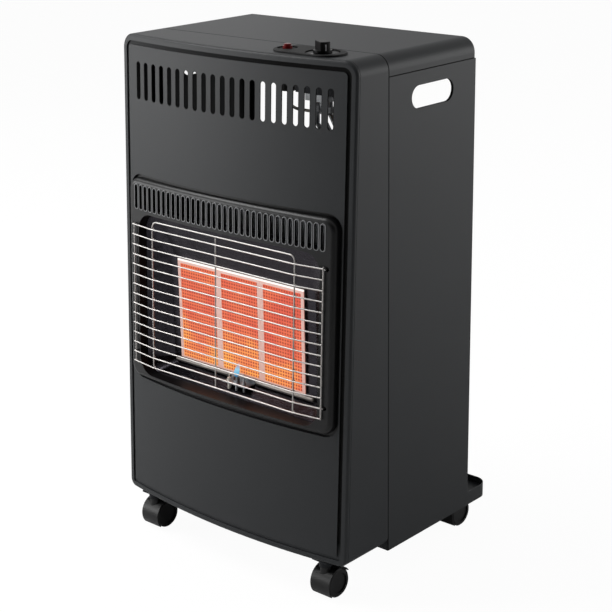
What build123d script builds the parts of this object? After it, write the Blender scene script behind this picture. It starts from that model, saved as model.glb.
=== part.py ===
from build123d import *
import math
import os

# Portable gas cabinet heater: a roll-about steel cabinet with a bowed front, a ceramic
# burner behind a wire guard, controls on the top, and an open back for a gas bottle.
# Millimetres, +X to the viewer's right, +Y to the back, +Z up. The origin is on the floor,
# under the middle of the whole heater.

# ---- cabinet ----
cabinet_width = 420.0
cabinet_height = 671.0      # front panel's bottom edge to the flat top
castor_height = 59.0        # floor to the underside of the base
sheet = 1.0                 # cabinet steel
corner_radius = 20.0        # top corners of the wrapped housing, seen from the front
foot_radius = 12.0          # bottom corners of the front
front_depth = 91.0          # seam to the front's face, at its sides, at the bottom
lean_back = 31.5            # how much further back the front stands at its top
front_bow = 19.4            # bulge of the front across its width
rear_depth = 185.0          # seam to the rear edge of the side panels
tray_reach = 240.0          # seam to the rear edge of the bottle tray
hood_drop = 27.0            # height of the hood's side flanges
hood_round = 4.0
side_drop = 9.0             # how far the rear cabinet hangs below the front
tray_rim = 11.0             # tray's edge above its floor
tray_sheet = 1.2
tray_inset = 1.5            # tray inside the cabinet's width
tray_corner = 20.0
tongue_height = 16.0
hand_length = 89.0          # hand-holes in the side panels
hand_height = 30.0
hand_middle_y = 91.5
hand_middle_z = 610.0
hand_rim = 4.0
seam_gap = 0.6              # visible gap between pressed panels
seat_gap = 0.3              # clearance where one piece seats on another
flange = 18.0               # folded-in edges of the rear panels
housing_lip = 12.0          # folded-in rear edge of the front housing

# ---- front panel ----
edge_return = 5.0           # visible depth of the front panel's rolled edge
edge_round = 4.0            # radius of that rolled edge
bead_width = 9.0            # rim between the outer edge and the pressed groove
groove_width = 5.0
groove_depth = 2.0
vent_count = 21
vent_side = 37.0            # cabinet's side to the middle of the first vent
vent_width = 8.0
vent_height = 51.0
vent_middle = 609.5         # above the front's bottom edge
opening_side = 16.0         # cabinet's side to the opening that the burner surround sits in
opening_height = 299.0
opening_middle = 329.5
opening_radius = 22.0
opening_lip = 4.0
lip_wall = 0.8

# ---- burner surround ----
surround_gap = 4.5          # dark groove round the surround
surround_depth = 100.9      # seam to the surround's face, at the cabinet's sides, at the bottom
surround_bow = 13.7
surround_wall = 2.0
surround_round = 7.0
window_side = 26.0          # opening's side to the window
window_low = 192.0
window_high = 427.0
window_radius = 25.0
collar_wall = 2.0
collar_depth = 92.0         # seam to the rear of the window's collar, at the bottom
groove_floor = 1.5          # rim behind the front panel that closes the groove
groove_floor_reach = 8.0
louvre_count = 35
louvre_side = 22.3          # opening's side to the middle of the first louvre
louvre_width = 6.0
louvre_height = 34.0
louvre_middle = 449.5
louvre_rim = 1.1            # raised edge round each louvre
louvre_proud = 0.9

# ---- wire guard ----
wire = 2.0
rung_count = 15
rung_low = 209.5
rung_high = 410.5
guard_top = 421.0
guard_depth = 115.6         # seam to the guard's flat middle, at the bottom
guard_end_depth = 109.5     # seam to its swept-back ends
guard_past = 8.0            # window's side to the guard's end
guard_wing = 44.0           # guard's end to the knee of its rungs
guard_middle = -9.5         # middle upright from the cabinet's middle
guard_corner = 8.0
guard_bend = 12.0
hook_length = 16.0
hook_heights = (223.0, 409.0)
hook_hole = 3.0

# ---- burner ----
plaque_width = 76.0
plaque_height = 144.0
plaque_thickness = 12.0
plaque_pitch = 78.6
plaque_low = 219.0
plaque_depth = 61.0         # seam to the face of the plaques
plaque_gap = 0.1
plaque_chamfer = 0.8
burner_depth = 62.2         # seam to the front of the frame round each plaque
burner_wall = 1.0
burner_box_depth = 40.2
frame_sheet = 0.8           # front of each burner, which holds the plaque's edges
frame_side = 4.0            # how far it covers the plaque at its sides
frame_top = 5.0
frame_foot = 1.0
venturi_radius = 9.0
venturi_length = 66.0
venturi_wall = 1.0
venturi_mouth = 13.0
venturi_flare = 14.0
reflector_depth = 58.0      # seam to the reflector's back plate
reflector_back_width = 272.0
reflector_back_high = 368.0
reflector_back_low = 206.0
reflector_back_radius = 10.0
reflector_gap = 0.5         # round the burners in the back plate
reflector_rim = 6.0
reflector_sheet = 0.8
shield_low = 60.0
shield_high = 540.0
shield_bend = 30.0
shield_side = 5.0           # cabinet's side to the shield
pilot_depth = 72.0          # seam to the pilot burner's axis
pilot_spacing = 14.0        # thermocouple, pilot and electrode, side by side
pilot_shelf = 207.0
pilot_sheet = 1.2
pilot_reach = 6.0           # shelf past the pilot's axis
pilot_tab_width = 44.0
pilot_height = 10.0
pilot_body_radius = 4.5
electrode_radius = 2.6
electrode_wire = 0.9
probe_radius = 1.6
probe_height = 16.0

# ---- controls ----
plate_length = 108.0
plate_width = 50.0
plate_thickness = 2.5
plate_depth = 38.0          # seam to the middle of the control plate
plate_side = 96.0           # cabinet's side to the plate's middle
knob_side = 75.0            # cabinet's side to the knob's axis
controls_pitch = 59.0       # knob to button
plate_round = 1.2
knob_opening = 22.5
button_opening = 13.5
knob_clearance = 24.0       # hole in the steel top under the knob
skirt_radius = 21.5
skirt_sink = 1.0            # skirt's underside below the cabinet top
skirt_thickness = 2.0
grip_foot = 4.0
grip_radius = 12.0
grip_height = 15.0
grip_thickness = 13.0
grip_angle = 60.0           # grip's pointing end, from the front towards the right
index_radius = 1.8
index_offset = (-4.0, -15.8)
line_width = 1.6
line_proud = 0.3
knob_travel = 4.0
button_radius = 6.2
button_proud = 5.0
button_cap_radius = 5.0
button_cap_height = 2.5
button_travel = 5.0
button_depth = 10.0         # button's foot below the cabinet top
button_gap = 0.3
igniter_radius = 10.0
igniter_length = 52.0
igniter_collar = 13.0
igniter_collar_height = 0.8
igniter_neck = 9.5
igniter_neck_height = 1.4
igniter_nut = 13.0
igniter_nut_height = 5.0
spindle_radius = 3.0
running_gap = 0.05

# ---- gas valve ----
valve_width = 36.0
valve_depth = 30.0
valve_height = 42.0
valve_drop = 16.0           # top of the valve below the cabinet top
plug_radius = 8.0
plug_height = 26.0
nozzle_radius = 4.5
nozzle_length = 26.0
nozzle_nut = 8.0
outlet_radius = 4.6
outlet_length = 7.0
outlet_pitch = 10.0
spindle_neck_gap = 0.3
bracket_sheet = 1.5
bracket_width = 64.0
bracket_drop = 48.0
bracket_foot = 7.0
nozzle_height = 22.0        # above the valve's underside

# ---- tubes and leads ----
supply_radius = 3.0
pilot_radius = 2.0
probe_lead_radius = 1.3
spark_lead_radius = 2.0
tube_pitch = 9.0
injector_radius = 5.0
injector_height = 16.0
injector_low = 118.0
injector_foot = 18.0        # injector to the highest supply run below it
manifold_sheet = 2.0
manifold_width = 200.0
manifold_leg = 28.0
column_side = 50.0          # cabinet's side to the outermost supply tube
lead_side = 22.0            # cabinet's side to the outermost pilot line
lead_pitch = 8.0
lead_depth = 58.0
lead_low = 178.0            # highest cross run of the pilot lines
supply_bend = 8.0
lead_bend = 5.0

# ---- castors ----
castor_side = 43.0          # cabinet's side to the swivel pins
castor_front = 82.0         # seam to the front swivel pins, forwards
castor_rear = 199.0         # seam to the rear swivel pins, backwards
castor_trail = 10.0
wheel_radius = 21.0
wheel_width = 11.0
wheel_round = 2.0
wheel_gap = 0.7
wheel_dish = 15.0
wheel_dish_depth = 1.6
castor_web = 8.0
castor_overhang = 0.8
castor_boss = 7.5
castor_boss_top = 46.0
hood_start = 35.0
hood_end = 222.0
castor_hood_wall = 1.5
castor_hood_gap = 0.7
axle_radius = 3.0
stem_radius = 4.0
socket_radius = 9.0
socket_height = 10.0
socket_plate = 26.0
socket_sheet = 2.0

# ---- worked out from the sizes above ----
front_reach = front_depth + front_bow
middle_y = (front_reach - tray_reach) / 2
seam_y = middle_y
base_z = castor_height
top_z = base_z + cabinet_height
half = cabinet_width / 2
lean = lean_back / cabinet_height
deep = 2 * (front_reach + tray_reach)
vent_pitch = 2 * (half - vent_side) / (vent_count - 1)
opening_width = cabinet_width - 2 * opening_side
window_width = opening_width - 2 * window_side
louvre_pitch = (opening_width - 2 * louvre_side) / (louvre_count - 1)
guard_half = window_width / 2 + guard_past
guard_knee = guard_half - guard_wing
shield_width = cabinet_width - 2 * shield_side
plate_middle = half - plate_side
knob_x = half - knob_side
button_x = knob_x - controls_pitch
controls_y = seam_y - plate_depth
first_column = half - column_side - 2 * tube_pitch
first_lead = half - lead_side - 2 * lead_pitch
castor_track = half - castor_side

os.makedirs("parts", exist_ok=True)


def face_depth(depth_low, height):
    """Depth of a leaning face at a height above the front's bottom edge."""
    return depth_low - lean * height


def front_y(depth_low, height):
    return seam_y - face_depth(depth_low, height)


def bow_offset(bulge, x):
    """How far behind its foremost line a bowed face lies, at x from the middle."""
    if bulge == 0:
        return 0.0
    radius = (half ** 2 + bulge ** 2) / (2 * bulge)
    return radius - math.sqrt(radius ** 2 - x ** 2)


def bowed_slab(front, front_bulge, back, back_bulge):
    """Space between two leaning, bowed faces, each given by its depth at the cabinet's sides.

    The section is drawn square to the lean, so that each bowed face is part of a cylinder.
    """
    overlap = 30.0
    reach = half + overlap / 3
    slope = math.hypot(1, lean)
    nose = (front_y(front, -overlap) - front_bulge) / slope
    tail = (front_y(back, -overlap) - back_bulge) / slope
    nose_side = nose + bow_offset(front_bulge, reach)
    tail_side = tail + bow_offset(back_bulge, reach)
    section = Plane(origin=(0, 0, base_z - overlap), x_dir=(1, 0, 0), z_dir=(0, lean, 1))
    with BuildPart() as slab:
        with BuildSketch(section):
            with BuildLine():
                if front_bulge:
                    ThreePointArc((-reach, nose_side), (0, nose), (reach, nose_side))
                else:
                    Line((-reach, nose), (reach, nose))
                Line((reach, nose_side), (reach, tail_side))
                if back_bulge:
                    ThreePointArc((reach, tail_side), (0, tail), (-reach, tail_side))
                else:
                    Line((reach, tail), (-reach, tail))
                Line((-reach, tail_side), (-reach, nose_side))
            make_face()
        extrude(amount=(cabinet_height + 2 * overlap) * slope)
    return slab.part


def cabinet_outline(inset):
    """The front's outline, tight corners at the foot and wide ones at the top."""
    with BuildSketch(Plane.XZ) as outline:
        with Locations((0, base_z + cabinet_height / 2)):
            Rectangle(cabinet_width - 2 * inset, cabinet_height - 2 * inset)
        fillet(outline.vertices().group_by(Axis.Y)[-1], corner_radius - min(inset, corner_radius - 1))
        fillet(outline.vertices().group_by(Axis.Y)[0], foot_radius - min(inset, foot_radius - 1))
    return outline.sketch


def opening_outline(inset, radius):
    """The outline of the burner opening, or of what sits in it."""
    with BuildSketch(Plane.XZ) as outline:
        with Locations((0, base_z + opening_middle)):
            RectangleRounded(opening_width - 2 * inset, opening_height - 2 * inset, radius)
    return outline.sketch


def window_outline(outset):
    window_middle = (window_low + window_high) / 2
    with BuildSketch(Plane.XZ) as outline:
        with Locations((0, base_z + window_middle)):
            width = window_width + 2 * outset
            height = window_high - window_low + 2 * outset
            RectangleRounded(width, height, window_radius + outset)
    return outline.sketch


def clipped(body, outline, hole=None):
    """A slab trimmed to an outline seen from the front, less a hole."""
    with BuildPart() as trimmed:
        add(body)
        extrude(outline, amount=deep, both=True, mode=Mode.INTERSECT)
        if hole is not None:
            extrude(hole, amount=deep, both=True, mode=Mode.SUBTRACT)
    return trimmed.part


def rolled_block(front, bulge, back, back_bulge, outline, radius):
    """A bowed block whose foremost edges are rolled over to a radius."""
    body_depth = 40.0
    with BuildPart() as block:
        add(clipped(bowed_slab(front, bulge, front - body_depth, bulge), outline))
        foremost = block.faces().sort_by(Axis.Y)[0]
        fillet(foremost.edges(), radius)
        add(bowed_slab(back, back_bulge, front - 2 * body_depth, 0), mode=Mode.SUBTRACT)
    return block.part


def bent_tube(points, radius, bend):
    """A round tube along straight runs joined by tangent arcs."""
    with BuildPart() as tube:
        with BuildLine() as route:
            FilletPolyline(*points, radius=bend)
        start = route.line @ 0
        with BuildSketch(Plane(origin=start, z_dir=route.line % 0)):
            Circle(radius)
        sweep()
    return tube.part


def save(part, name, label):
    part.label = label
    export_step(part, "parts/" + name + ".step")


# ---- front panel: one pressed sheet with a rolled edge, a groove, vents and an opening ----
panel_back = front_depth - edge_return
panel_skin = rolled_block(
    front_depth, front_bow, panel_back, front_bow, cabinet_outline(0), edge_round
)
panel_core = rolled_block(
    front_depth - sheet, front_bow, panel_back - sheet, front_bow,
    cabinet_outline(sheet), edge_round - sheet,
)
groove_outer = bead_width
groove_inner = bead_width + groove_width
groove_block = clipped(
    bowed_slab(front_depth - sheet / 2, front_bow, front_depth - groove_depth - sheet, front_bow),
    cabinet_outline(groove_outer - sheet),
    cabinet_outline(groove_inner + sheet),
)
groove_cut = clipped(
    bowed_slab(front_depth + 1, front_bow, front_depth - groove_depth, front_bow),
    cabinet_outline(groove_outer),
    cabinet_outline(groove_inner),
)
lip_block = clipped(
    bowed_slab(front_depth - sheet / 2, front_bow, front_depth - opening_lip, front_bow),
    opening_outline(-lip_wall, opening_radius + lip_wall),
)

with BuildPart() as front_panel:
    add(panel_skin)
    add(panel_core, mode=Mode.SUBTRACT)
    add(groove_block)
    add(groove_cut, mode=Mode.SUBTRACT)
    add(lip_block)
    extrude(opening_outline(0, opening_radius), amount=deep, both=True, mode=Mode.SUBTRACT)
    with BuildSketch(Plane.XZ):
        with Locations((0, base_z + vent_middle)):
            with GridLocations(vent_pitch, 0, vent_count, 1):
                SlotOverall(vent_height, vent_width, rotation=90)
    extrude(amount=deep, both=True, mode=Mode.SUBTRACT)
save(front_panel.part, "front_panel", "front_panel")


# ---- front housing: one sheet wrapped round the front half, with a lip at the seam ----
housing_front = panel_back - seam_gap


def flat_backed(front, bulge, back_y, outline):
    """A bowed block cut off square at back_y."""
    with BuildPart() as block:
        add(clipped(bowed_slab(front, bulge, -tray_reach, 0), outline))
        split(bisect_by=Plane.XZ.offset(-back_y), keep=Keep.TOP)
    return block.part


with BuildPart() as front_housing:
    add(flat_backed(housing_front, front_bow, seam_y, cabinet_outline(0)))
    add(
        flat_backed(housing_front + sheet, front_bow, seam_y - sheet, cabinet_outline(sheet)),
        mode=Mode.SUBTRACT,
    )
    with BuildSketch(Plane.XZ.offset(-seam_y)):
        with Locations((0, base_z + cabinet_height / 2)):
            Rectangle(cabinet_width - 2 * housing_lip, cabinet_height - 2 * housing_lip)
    extrude(amount=2 * sheet, both=True, mode=Mode.SUBTRACT)
    with BuildSketch(Plane.XY.offset(top_z)):
        with Locations((knob_x, controls_y)):
            Circle(knob_clearance)
        with Locations((button_x, controls_y)):
            Circle(igniter_radius + button_gap)
    extrude(amount=2 * sheet, both=True, mode=Mode.SUBTRACT)
save(front_housing.part, "front_housing", "front_housing")

# ---- stiffening plate on the floor of the front half ----
base_half = half - foot_radius
base_front = front_y(housing_front - edge_return, 0)
with BuildPart() as front_base:
    with BuildSketch(Plane.XY.offset(base_z + sheet)):
        with BuildLine():
            nose = base_front - front_bow
            side = nose + bow_offset(front_bow, base_half)
            rear = seam_y - sheet - seat_gap
            ThreePointArc((-base_half, side), (0, nose), (base_half, side))
            Polyline((base_half, side), (base_half, rear), (-base_half, rear), (-base_half, side))
        make_face()
    extrude(amount=bracket_sheet)
save(front_base.part, "front_base", "front_base")


# ---- rear cabinet: hood, two side panels and the tray the bottle stands on ----
def top_profile(inset, foot):
    """The hood's section: the top of the cabinet's outline, down to foot."""
    with BuildSketch(Plane.XZ.offset(-seam_y - seam_gap)) as profile:
        with Locations((0, (top_z - inset + foot) / 2)):
            Rectangle(cabinet_width - 2 * inset, top_z - inset - foot)
        fillet(profile.vertices().group_by(Axis.Y)[-1], corner_radius - inset)
    return profile.sketch


hood_foot = top_z - hood_drop
hood_length = rear_depth - seam_gap
with BuildPart() as hood_core:
    extrude(top_profile(sheet, hood_foot - sheet), amount=-(hood_length - sheet))
    rear_edges = hood_core.faces().sort_by(Axis.Y)[-1].edges()
    fillet(rear_edges.group_by(Axis.Z)[1:], hood_round - sheet)

with BuildPart() as top_hood:
    extrude(top_profile(0, hood_foot), amount=-hood_length)
    fillet(top_hood.faces().sort_by(Axis.Y)[-1].edges().group_by(Axis.Z)[1:], hood_round)
    add(hood_core.part, mode=Mode.SUBTRACT)
save(top_hood.part, "top_hood", "top_hood")

side_high = hood_foot - seam_gap
side_low = base_z - side_drop
side_front = seam_y + seam_gap
side_back = seam_y + rear_depth
hand_y = seam_y + hand_middle_y
hand_z = base_z + hand_middle_z
inner_low = base_z + tray_rim + sheet
with BuildPart() as side_panel_right:
    with Locations((half - sheet, side_front, side_low)):
        Box(sheet, side_back - side_front, side_high - side_low, align=Align.MIN)
    with Locations((half, side_front, inner_low)):
        Box(flange, sheet, side_high - inner_low, align=(Align.MAX, Align.MIN, Align.MIN))
    with Locations((half, side_back, inner_low)):
        Box(flange, sheet, side_high - inner_low, align=(Align.MAX, Align.MAX, Align.MIN))
    with BuildSketch(Plane.XZ.offset(-side_front - 2 * sheet)):
        inside = half - sheet
        tongue = inside - seat_gap
        tongue_low = side_high - tongue_height / 2
        with BuildLine():
            Polyline(
                (inside, tongue_low), (inside, side_high), (tongue, side_high),
                (tongue, side_high + tongue_height / 2), (tongue - sheet, side_high + tongue_height / 2),
                (tongue - sheet, tongue_low), close=True,
            )
        make_face()
    extrude(amount=-(side_back - side_front - 2 * sheet - 2 * hood_round))
    with BuildSketch(Plane.YZ.offset(half - hand_rim)):
        with Locations((hand_y, hand_z)):
            SlotOverall(hand_length + 2 * sheet, hand_height + 2 * sheet)
    extrude(amount=hand_rim)
    with BuildSketch(Plane.YZ.offset(half)):
        with Locations((hand_y, hand_z)):
            SlotOverall(hand_length, hand_height)
    extrude(amount=2 * hand_rim, both=True, mode=Mode.SUBTRACT)
save(side_panel_right.part, "side_panel_right", "side_panel_right")

with BuildPart() as side_panel_left:
    add(mirror(side_panel_right.part, about=Plane.YZ))
save(side_panel_left.part, "side_panel_left", "side_panel_left")


def tray_outline(inset):
    near = seam_y + seam_gap + inset
    far = seam_y + tray_reach - inset
    with BuildSketch() as outline:
        with Locations((0, (near + far) / 2)):
            Rectangle(cabinet_width - 2 * (tray_inset + inset), far - near)
        fillet(outline.vertices().group_by(Axis.Y)[-1], tray_corner - inset)
    return outline.sketch


with BuildPart() as base_tray:
    with Locations((0, 0, side_low - seam_gap)):
        add(tray_outline(0))
    extrude(amount=tray_rim + side_drop + seam_gap)
    with Locations((0, 0, base_z + tray_sheet)):
        add(tray_outline(tray_sheet))
    extrude(amount=tray_rim, mode=Mode.SUBTRACT)
    with Locations((0, 0, base_z)):
        add(tray_outline(tray_sheet))
    extrude(amount=-2 * side_drop, mode=Mode.SUBTRACT)
    fillet(base_tray.faces().group_by(Axis.Z)[-1].edges(), tray_sheet / 2 - 0.1)
save(base_tray.part, "base_tray", "base_tray")

# ---- heat shield across the back of the front half ----
shield_y = seam_y - sheet - seat_gap
with BuildPart() as heat_shield:
    with BuildSketch(Plane.YZ.offset(-shield_width / 2)):
        with BuildLine():
            bend_z = base_z + shield_high
            Polyline(
                (shield_y, base_z + shield_low), (shield_y, bend_z),
                (shield_y - shield_bend, bend_z + shield_bend / 2),
                (shield_y - shield_bend, bend_z + shield_bend / 2 - sheet),
                (shield_y - sheet, bend_z - sheet), (shield_y - sheet, base_z + shield_low),
                close=True,
            )
        make_face()
    extrude(amount=shield_width)
save(heat_shield.part, "heat_shield", "heat_shield")

# ---- burner surround: a pressed frame with a window, a collar behind it and louvres ----
floor_front = front_depth - opening_lip - seat_gap
surround_back = floor_front - groove_floor - seat_gap
surround_inner = surround_gap + surround_wall
surround_skin = rolled_block(
    surround_depth, surround_bow, surround_back, front_bow,
    opening_outline(surround_gap, opening_radius - surround_gap), surround_round,
)
surround_core = rolled_block(
    surround_depth - surround_wall, surround_bow, surround_back - surround_wall, front_bow,
    opening_outline(surround_inner, opening_radius - surround_inner), surround_round - surround_wall,
)
wall_middle = surround_gap + surround_wall / 2
groove_floor_ring = clipped(
    bowed_slab(floor_front, front_bow, floor_front - groove_floor, front_bow),
    opening_outline(-groove_floor_reach, opening_radius),
    opening_outline(wall_middle, opening_radius - wall_middle),
)
window_collar = clipped(
    bowed_slab(surround_depth - surround_wall / 2, surround_bow, collar_depth, 0),
    window_outline(collar_wall),
    window_outline(0),
)


def louvre_outline(outset):
    with BuildSketch(Plane.XZ) as outline:
        with Locations((0, base_z + louvre_middle)):
            with GridLocations(louvre_pitch, 0, louvre_count, 1):
                SlotOverall(louvre_height + 2 * outset, louvre_width + 2 * outset, rotation=90)
    return outline.sketch


louvre_rims = clipped(
    bowed_slab(
        surround_depth + louvre_proud, surround_bow, surround_depth - surround_wall / 2, surround_bow
    ),
    louvre_outline(louvre_rim),
)
with BuildPart() as burner_surround:
    add(surround_skin)
    add(surround_core, mode=Mode.SUBTRACT)
    extrude(window_outline(0), amount=deep, both=True, mode=Mode.SUBTRACT)
    add(window_collar)
    add(groove_floor_ring)
    add(louvre_rims)
    extrude(louvre_outline(0), amount=deep, both=True, mode=Mode.SUBTRACT)
    with BuildSketch(Plane.XZ):
        hook_x = guard_half + wire / 2 + running_gap
        hole_x = hook_x + hook_hole - wire / 2 - seat_gap
        for height in hook_heights:
            with Locations((hole_x, base_z + height), (-hole_x, base_z + height)):
                Circle(hook_hole)
    extrude(amount=deep, both=True, mode=Mode.SUBTRACT)
save(burner_surround.part, "burner_surround", "burner_surround")

# ---- wire guard: bent rungs in front, upright wires behind them, hooks into the surround ----
def upright(x, depth, low, high):
    """A straight wire that leans with the front."""
    start = (x, front_y(depth, low), base_z + low)
    with BuildPart() as rod:
        with BuildSketch(Plane(origin=start, z_dir=(0, lean, 1))):
            Circle(wire / 2)
        extrude(amount=(high - low) * math.hypot(1, lean))
    return rod.part


def bent_wire(points, bend):
    with BuildPart() as rod:
        with BuildLine() as route:
            FilletPolyline(*points, radius=bend)
        with BuildSketch(Plane(origin=route.line @ 0, z_dir=route.line % 0)):
            Circle(wire / 2)
        sweep()
    return rod.part


behind = wire + running_gap
upright_depth = guard_depth - behind
outer_depth = guard_end_depth - behind
guard_low = rung_low - wire
rung_pitch = (rung_high - rung_low) / (rung_count - 1)
with BuildPart() as wire_guard:
    for rung in range(rung_count):
        height = rung_low + rung * rung_pitch
        knee_y = front_y(guard_depth, height)
        end_y = front_y(guard_end_depth, height)
        z = base_z + height
        add(
            bent_wire(
                [
                    (-guard_half, end_y, z), (-guard_knee, knee_y, z),
                    (guard_knee, knee_y, z), (guard_half, end_y, z),
                ],
                guard_bend,
            )
        )
    top_y = front_y(upright_depth, guard_top)
    low_y = front_y(upright_depth, guard_low)
    add(
        bent_wire(
            [
                (-guard_knee, low_y, base_z + guard_low), (-guard_knee, top_y, base_z + guard_top),
                (guard_knee, top_y, base_z + guard_top), (guard_knee, low_y, base_z + guard_low),
            ],
            guard_corner,
        )
    )
    add(upright(guard_middle, upright_depth, guard_low, guard_top - behind))
    end_x = guard_half - wire / 2
    for side in (-1, 1):
        add(upright(side * end_x, outer_depth, guard_low, rung_high + wire))
        for height in hook_heights:
            with BuildSketch(Plane.XZ.offset(-front_y(outer_depth, height))):
                with Locations((side * hook_x, base_z + height)):
                    Circle(wire / 2)
            extrude(amount=-hook_length)
save(wire_guard.part, "wire_guard", "wire_guard")

# ---- reflector: a sloping funnel from the window to a plate round the burners ----
mouth_depth = collar_depth - seat_gap
mouth_middle = (window_low + window_high) / 2
mouth_rise = (window_high - window_low) * math.hypot(1, lean)
mouth_plane = Plane(
    origin=(0, front_y(mouth_depth, mouth_middle), base_z + mouth_middle),
    x_dir=(1, 0, 0),
    z_dir=(0, -1, lean),
)
back_middle = (reflector_back_low + reflector_back_high) / 2
back_rise = reflector_back_high - reflector_back_low
back_origin = (0, seam_y - reflector_depth, base_z + back_middle)
back_plane = Plane(origin=back_origin, x_dir=(1, 0, 0), z_dir=(0, -1, 0))


def funnel(inset):
    with BuildPart() as solid:
        with BuildSketch(mouth_plane):
            RectangleRounded(window_width - 2 * inset, mouth_rise - 2 * inset, window_radius - inset)
        with BuildSketch(back_plane):
            width = reflector_back_width - 2 * inset
            RectangleRounded(width, back_rise - 2 * inset, reflector_back_radius - inset)
        loft(ruled=True)
    return solid.part


plaque_middle = plaque_low + plaque_height / 2
burner_side = plaque_width + 2 * (plaque_gap + burner_wall)
burner_rise = plaque_height + 2 * (plaque_gap + burner_wall)
pilot_y = seam_y - pilot_depth
reflector_flange = clipped(
    bowed_slab(mouth_depth, 0, mouth_depth - reflector_sheet, 0),
    window_outline(reflector_rim),
    window_outline(-reflector_sheet / 2),
)
with BuildPart() as reflector:
    add(funnel(0))
    add(funnel(reflector_sheet), mode=Mode.SUBTRACT)
    add(reflector_flange)
    with BuildSketch(back_plane):
        width = reflector_back_width - reflector_sheet
        RectangleRounded(width, back_rise - reflector_sheet, reflector_back_radius)
    extrude(amount=-reflector_sheet)
    with BuildSketch(Plane.XZ.offset(reflector_depth - seam_y)):
        with Locations((0, base_z + plaque_middle)):
            array_width = 2 * plaque_pitch + burner_side + 2 * reflector_gap
            Rectangle(array_width, burner_rise + 2 * reflector_gap)
    extrude(amount=2 * reflector_sheet, both=True, mode=Mode.SUBTRACT)
    with BuildSketch(Plane.XY.offset(base_z + reflector_back_low)):
        with Locations((0, pilot_y)):
            Circle(pilot_radius + button_gap)
        with Locations((pilot_spacing, pilot_y)):
            Circle(probe_radius + button_gap)
        with Locations((-pilot_spacing, pilot_y)):
            Circle(electrode_radius + button_gap)
    extrude(amount=-(reflector_back_low - window_low), mode=Mode.SUBTRACT)
save(reflector.part, "reflector", "reflector")

# ---- burners: an open box for each plaque, with its mixing tube below ----
burner_front = seam_y - burner_depth
burner_low = base_z + plaque_middle - burner_rise / 2
tube_y = controls_y
with BuildPart() as burner_body:
    with Locations((0, burner_front, burner_low)):
        Box(burner_side, burner_box_depth, burner_rise, align=(Align.CENTER, Align.MIN, Align.MIN))
    with Locations((0, burner_front + frame_sheet, burner_low + burner_wall)):
        Box(
            burner_side - 2 * burner_wall, burner_box_depth - burner_wall - frame_sheet,
            burner_rise - 2 * burner_wall, align=(Align.CENTER, Align.MIN, Align.MIN),
            mode=Mode.SUBTRACT,
        )
    with Locations((0, burner_front, base_z + plaque_low + frame_foot)):
        Box(
            plaque_width - 2 * frame_side, 2 * frame_sheet, plaque_height - frame_top - frame_foot,
            align=(Align.CENTER, Align.CENTER, Align.MIN), mode=Mode.SUBTRACT,
        )
    with BuildSketch(Plane(origin=(0, tube_y, burner_low), x_dir=(1, 0, 0), z_dir=(0, -1, 0))):
        outer = venturi_radius
        inner = venturi_radius - venturi_wall
        with BuildLine():
            Polyline(
                (inner, burner_wall / 2), (outer, burner_wall / 2),
                (outer, venturi_flare - venturi_length), (venturi_mouth, -venturi_length),
                (venturi_mouth - venturi_wall, -venturi_length),
                (inner, venturi_flare - venturi_length), close=True,
            )
        make_face()
    revolve(axis=Axis((0, tube_y, 0), (0, 0, 1)))
    with BuildSketch(Plane.XY.offset(burner_low)):
        with Locations((0, tube_y)):
            Circle(venturi_radius - venturi_wall)
    extrude(amount=2 * burner_wall, both=True, mode=Mode.SUBTRACT)

with BuildPart() as burner_left:
    with Locations((-plaque_pitch, 0, 0)):
        add(burner_body.part)
save(burner_left.part, "burner_left", "burner_left")

with BuildPart() as burner_middle:
    add(burner_body.part)
save(burner_middle.part, "burner_middle", "burner_middle")

with BuildPart() as burner_right:
    with Locations((plaque_pitch, 0, 0)):
        add(burner_body.part)
save(burner_right.part, "burner_right", "burner_right")

with BuildPart() as plaque_block:
    with Locations((0, seam_y - plaque_depth, base_z + plaque_low)):
        Box(plaque_width, plaque_thickness, plaque_height, align=(Align.CENTER, Align.MIN, Align.MIN))
    chamfer(plaque_block.faces().sort_by(Axis.Y)[0].edges(), plaque_chamfer)

with BuildPart() as ceramic_plaque_left:
    with Locations((-plaque_pitch, 0, 0)):
        add(plaque_block.part)
save(ceramic_plaque_left.part, "ceramic_plaque_left", "ceramic_plaque_left")

with BuildPart() as ceramic_plaque_middle:
    add(plaque_block.part)
save(ceramic_plaque_middle.part, "ceramic_plaque_middle", "ceramic_plaque_middle")

with BuildPart() as ceramic_plaque_right:
    with Locations((plaque_pitch, 0, 0)):
        add(plaque_block.part)
save(ceramic_plaque_right.part, "ceramic_plaque_right", "ceramic_plaque_right")

# ---- injectors on a shelf that stands off the heat shield ----
injector_spots = [(-plaque_pitch, tube_y), (0, tube_y), (plaque_pitch, tube_y)]
shelf_top = base_z + injector_low
shelf_back = shield_y - sheet
with BuildPart() as injector_bracket:
    with Locations((0, shelf_back, shelf_top)):
        Box(
            manifold_width, tube_y * -1 + shelf_back + 2 * injector_radius, manifold_sheet,
            align=(Align.CENTER, Align.MAX, Align.MAX),
        )
        Box(manifold_width, manifold_sheet, manifold_leg, align=(Align.CENTER, Align.MAX, Align.MAX))
    with BuildSketch(Plane.XY.offset(shelf_top)):
        with Locations(*injector_spots):
            Circle(supply_radius + seat_gap)
    extrude(amount=-manifold_sheet, mode=Mode.SUBTRACT)
save(injector_bracket.part, "injector_bracket", "injector_bracket")

with BuildPart() as injectors:
    with BuildSketch(Plane.XY.offset(shelf_top)):
        with Locations(*injector_spots):
            RegularPolygon(injector_radius, 6)
    extrude(amount=injector_height / 2)
    with BuildSketch(Plane.XY.offset(shelf_top + injector_height / 2)):
        with Locations(*injector_spots):
            Circle(supply_radius)
    extrude(amount=injector_height / 2, taper=8)
save(injectors.part, "injectors", "injectors")


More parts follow.
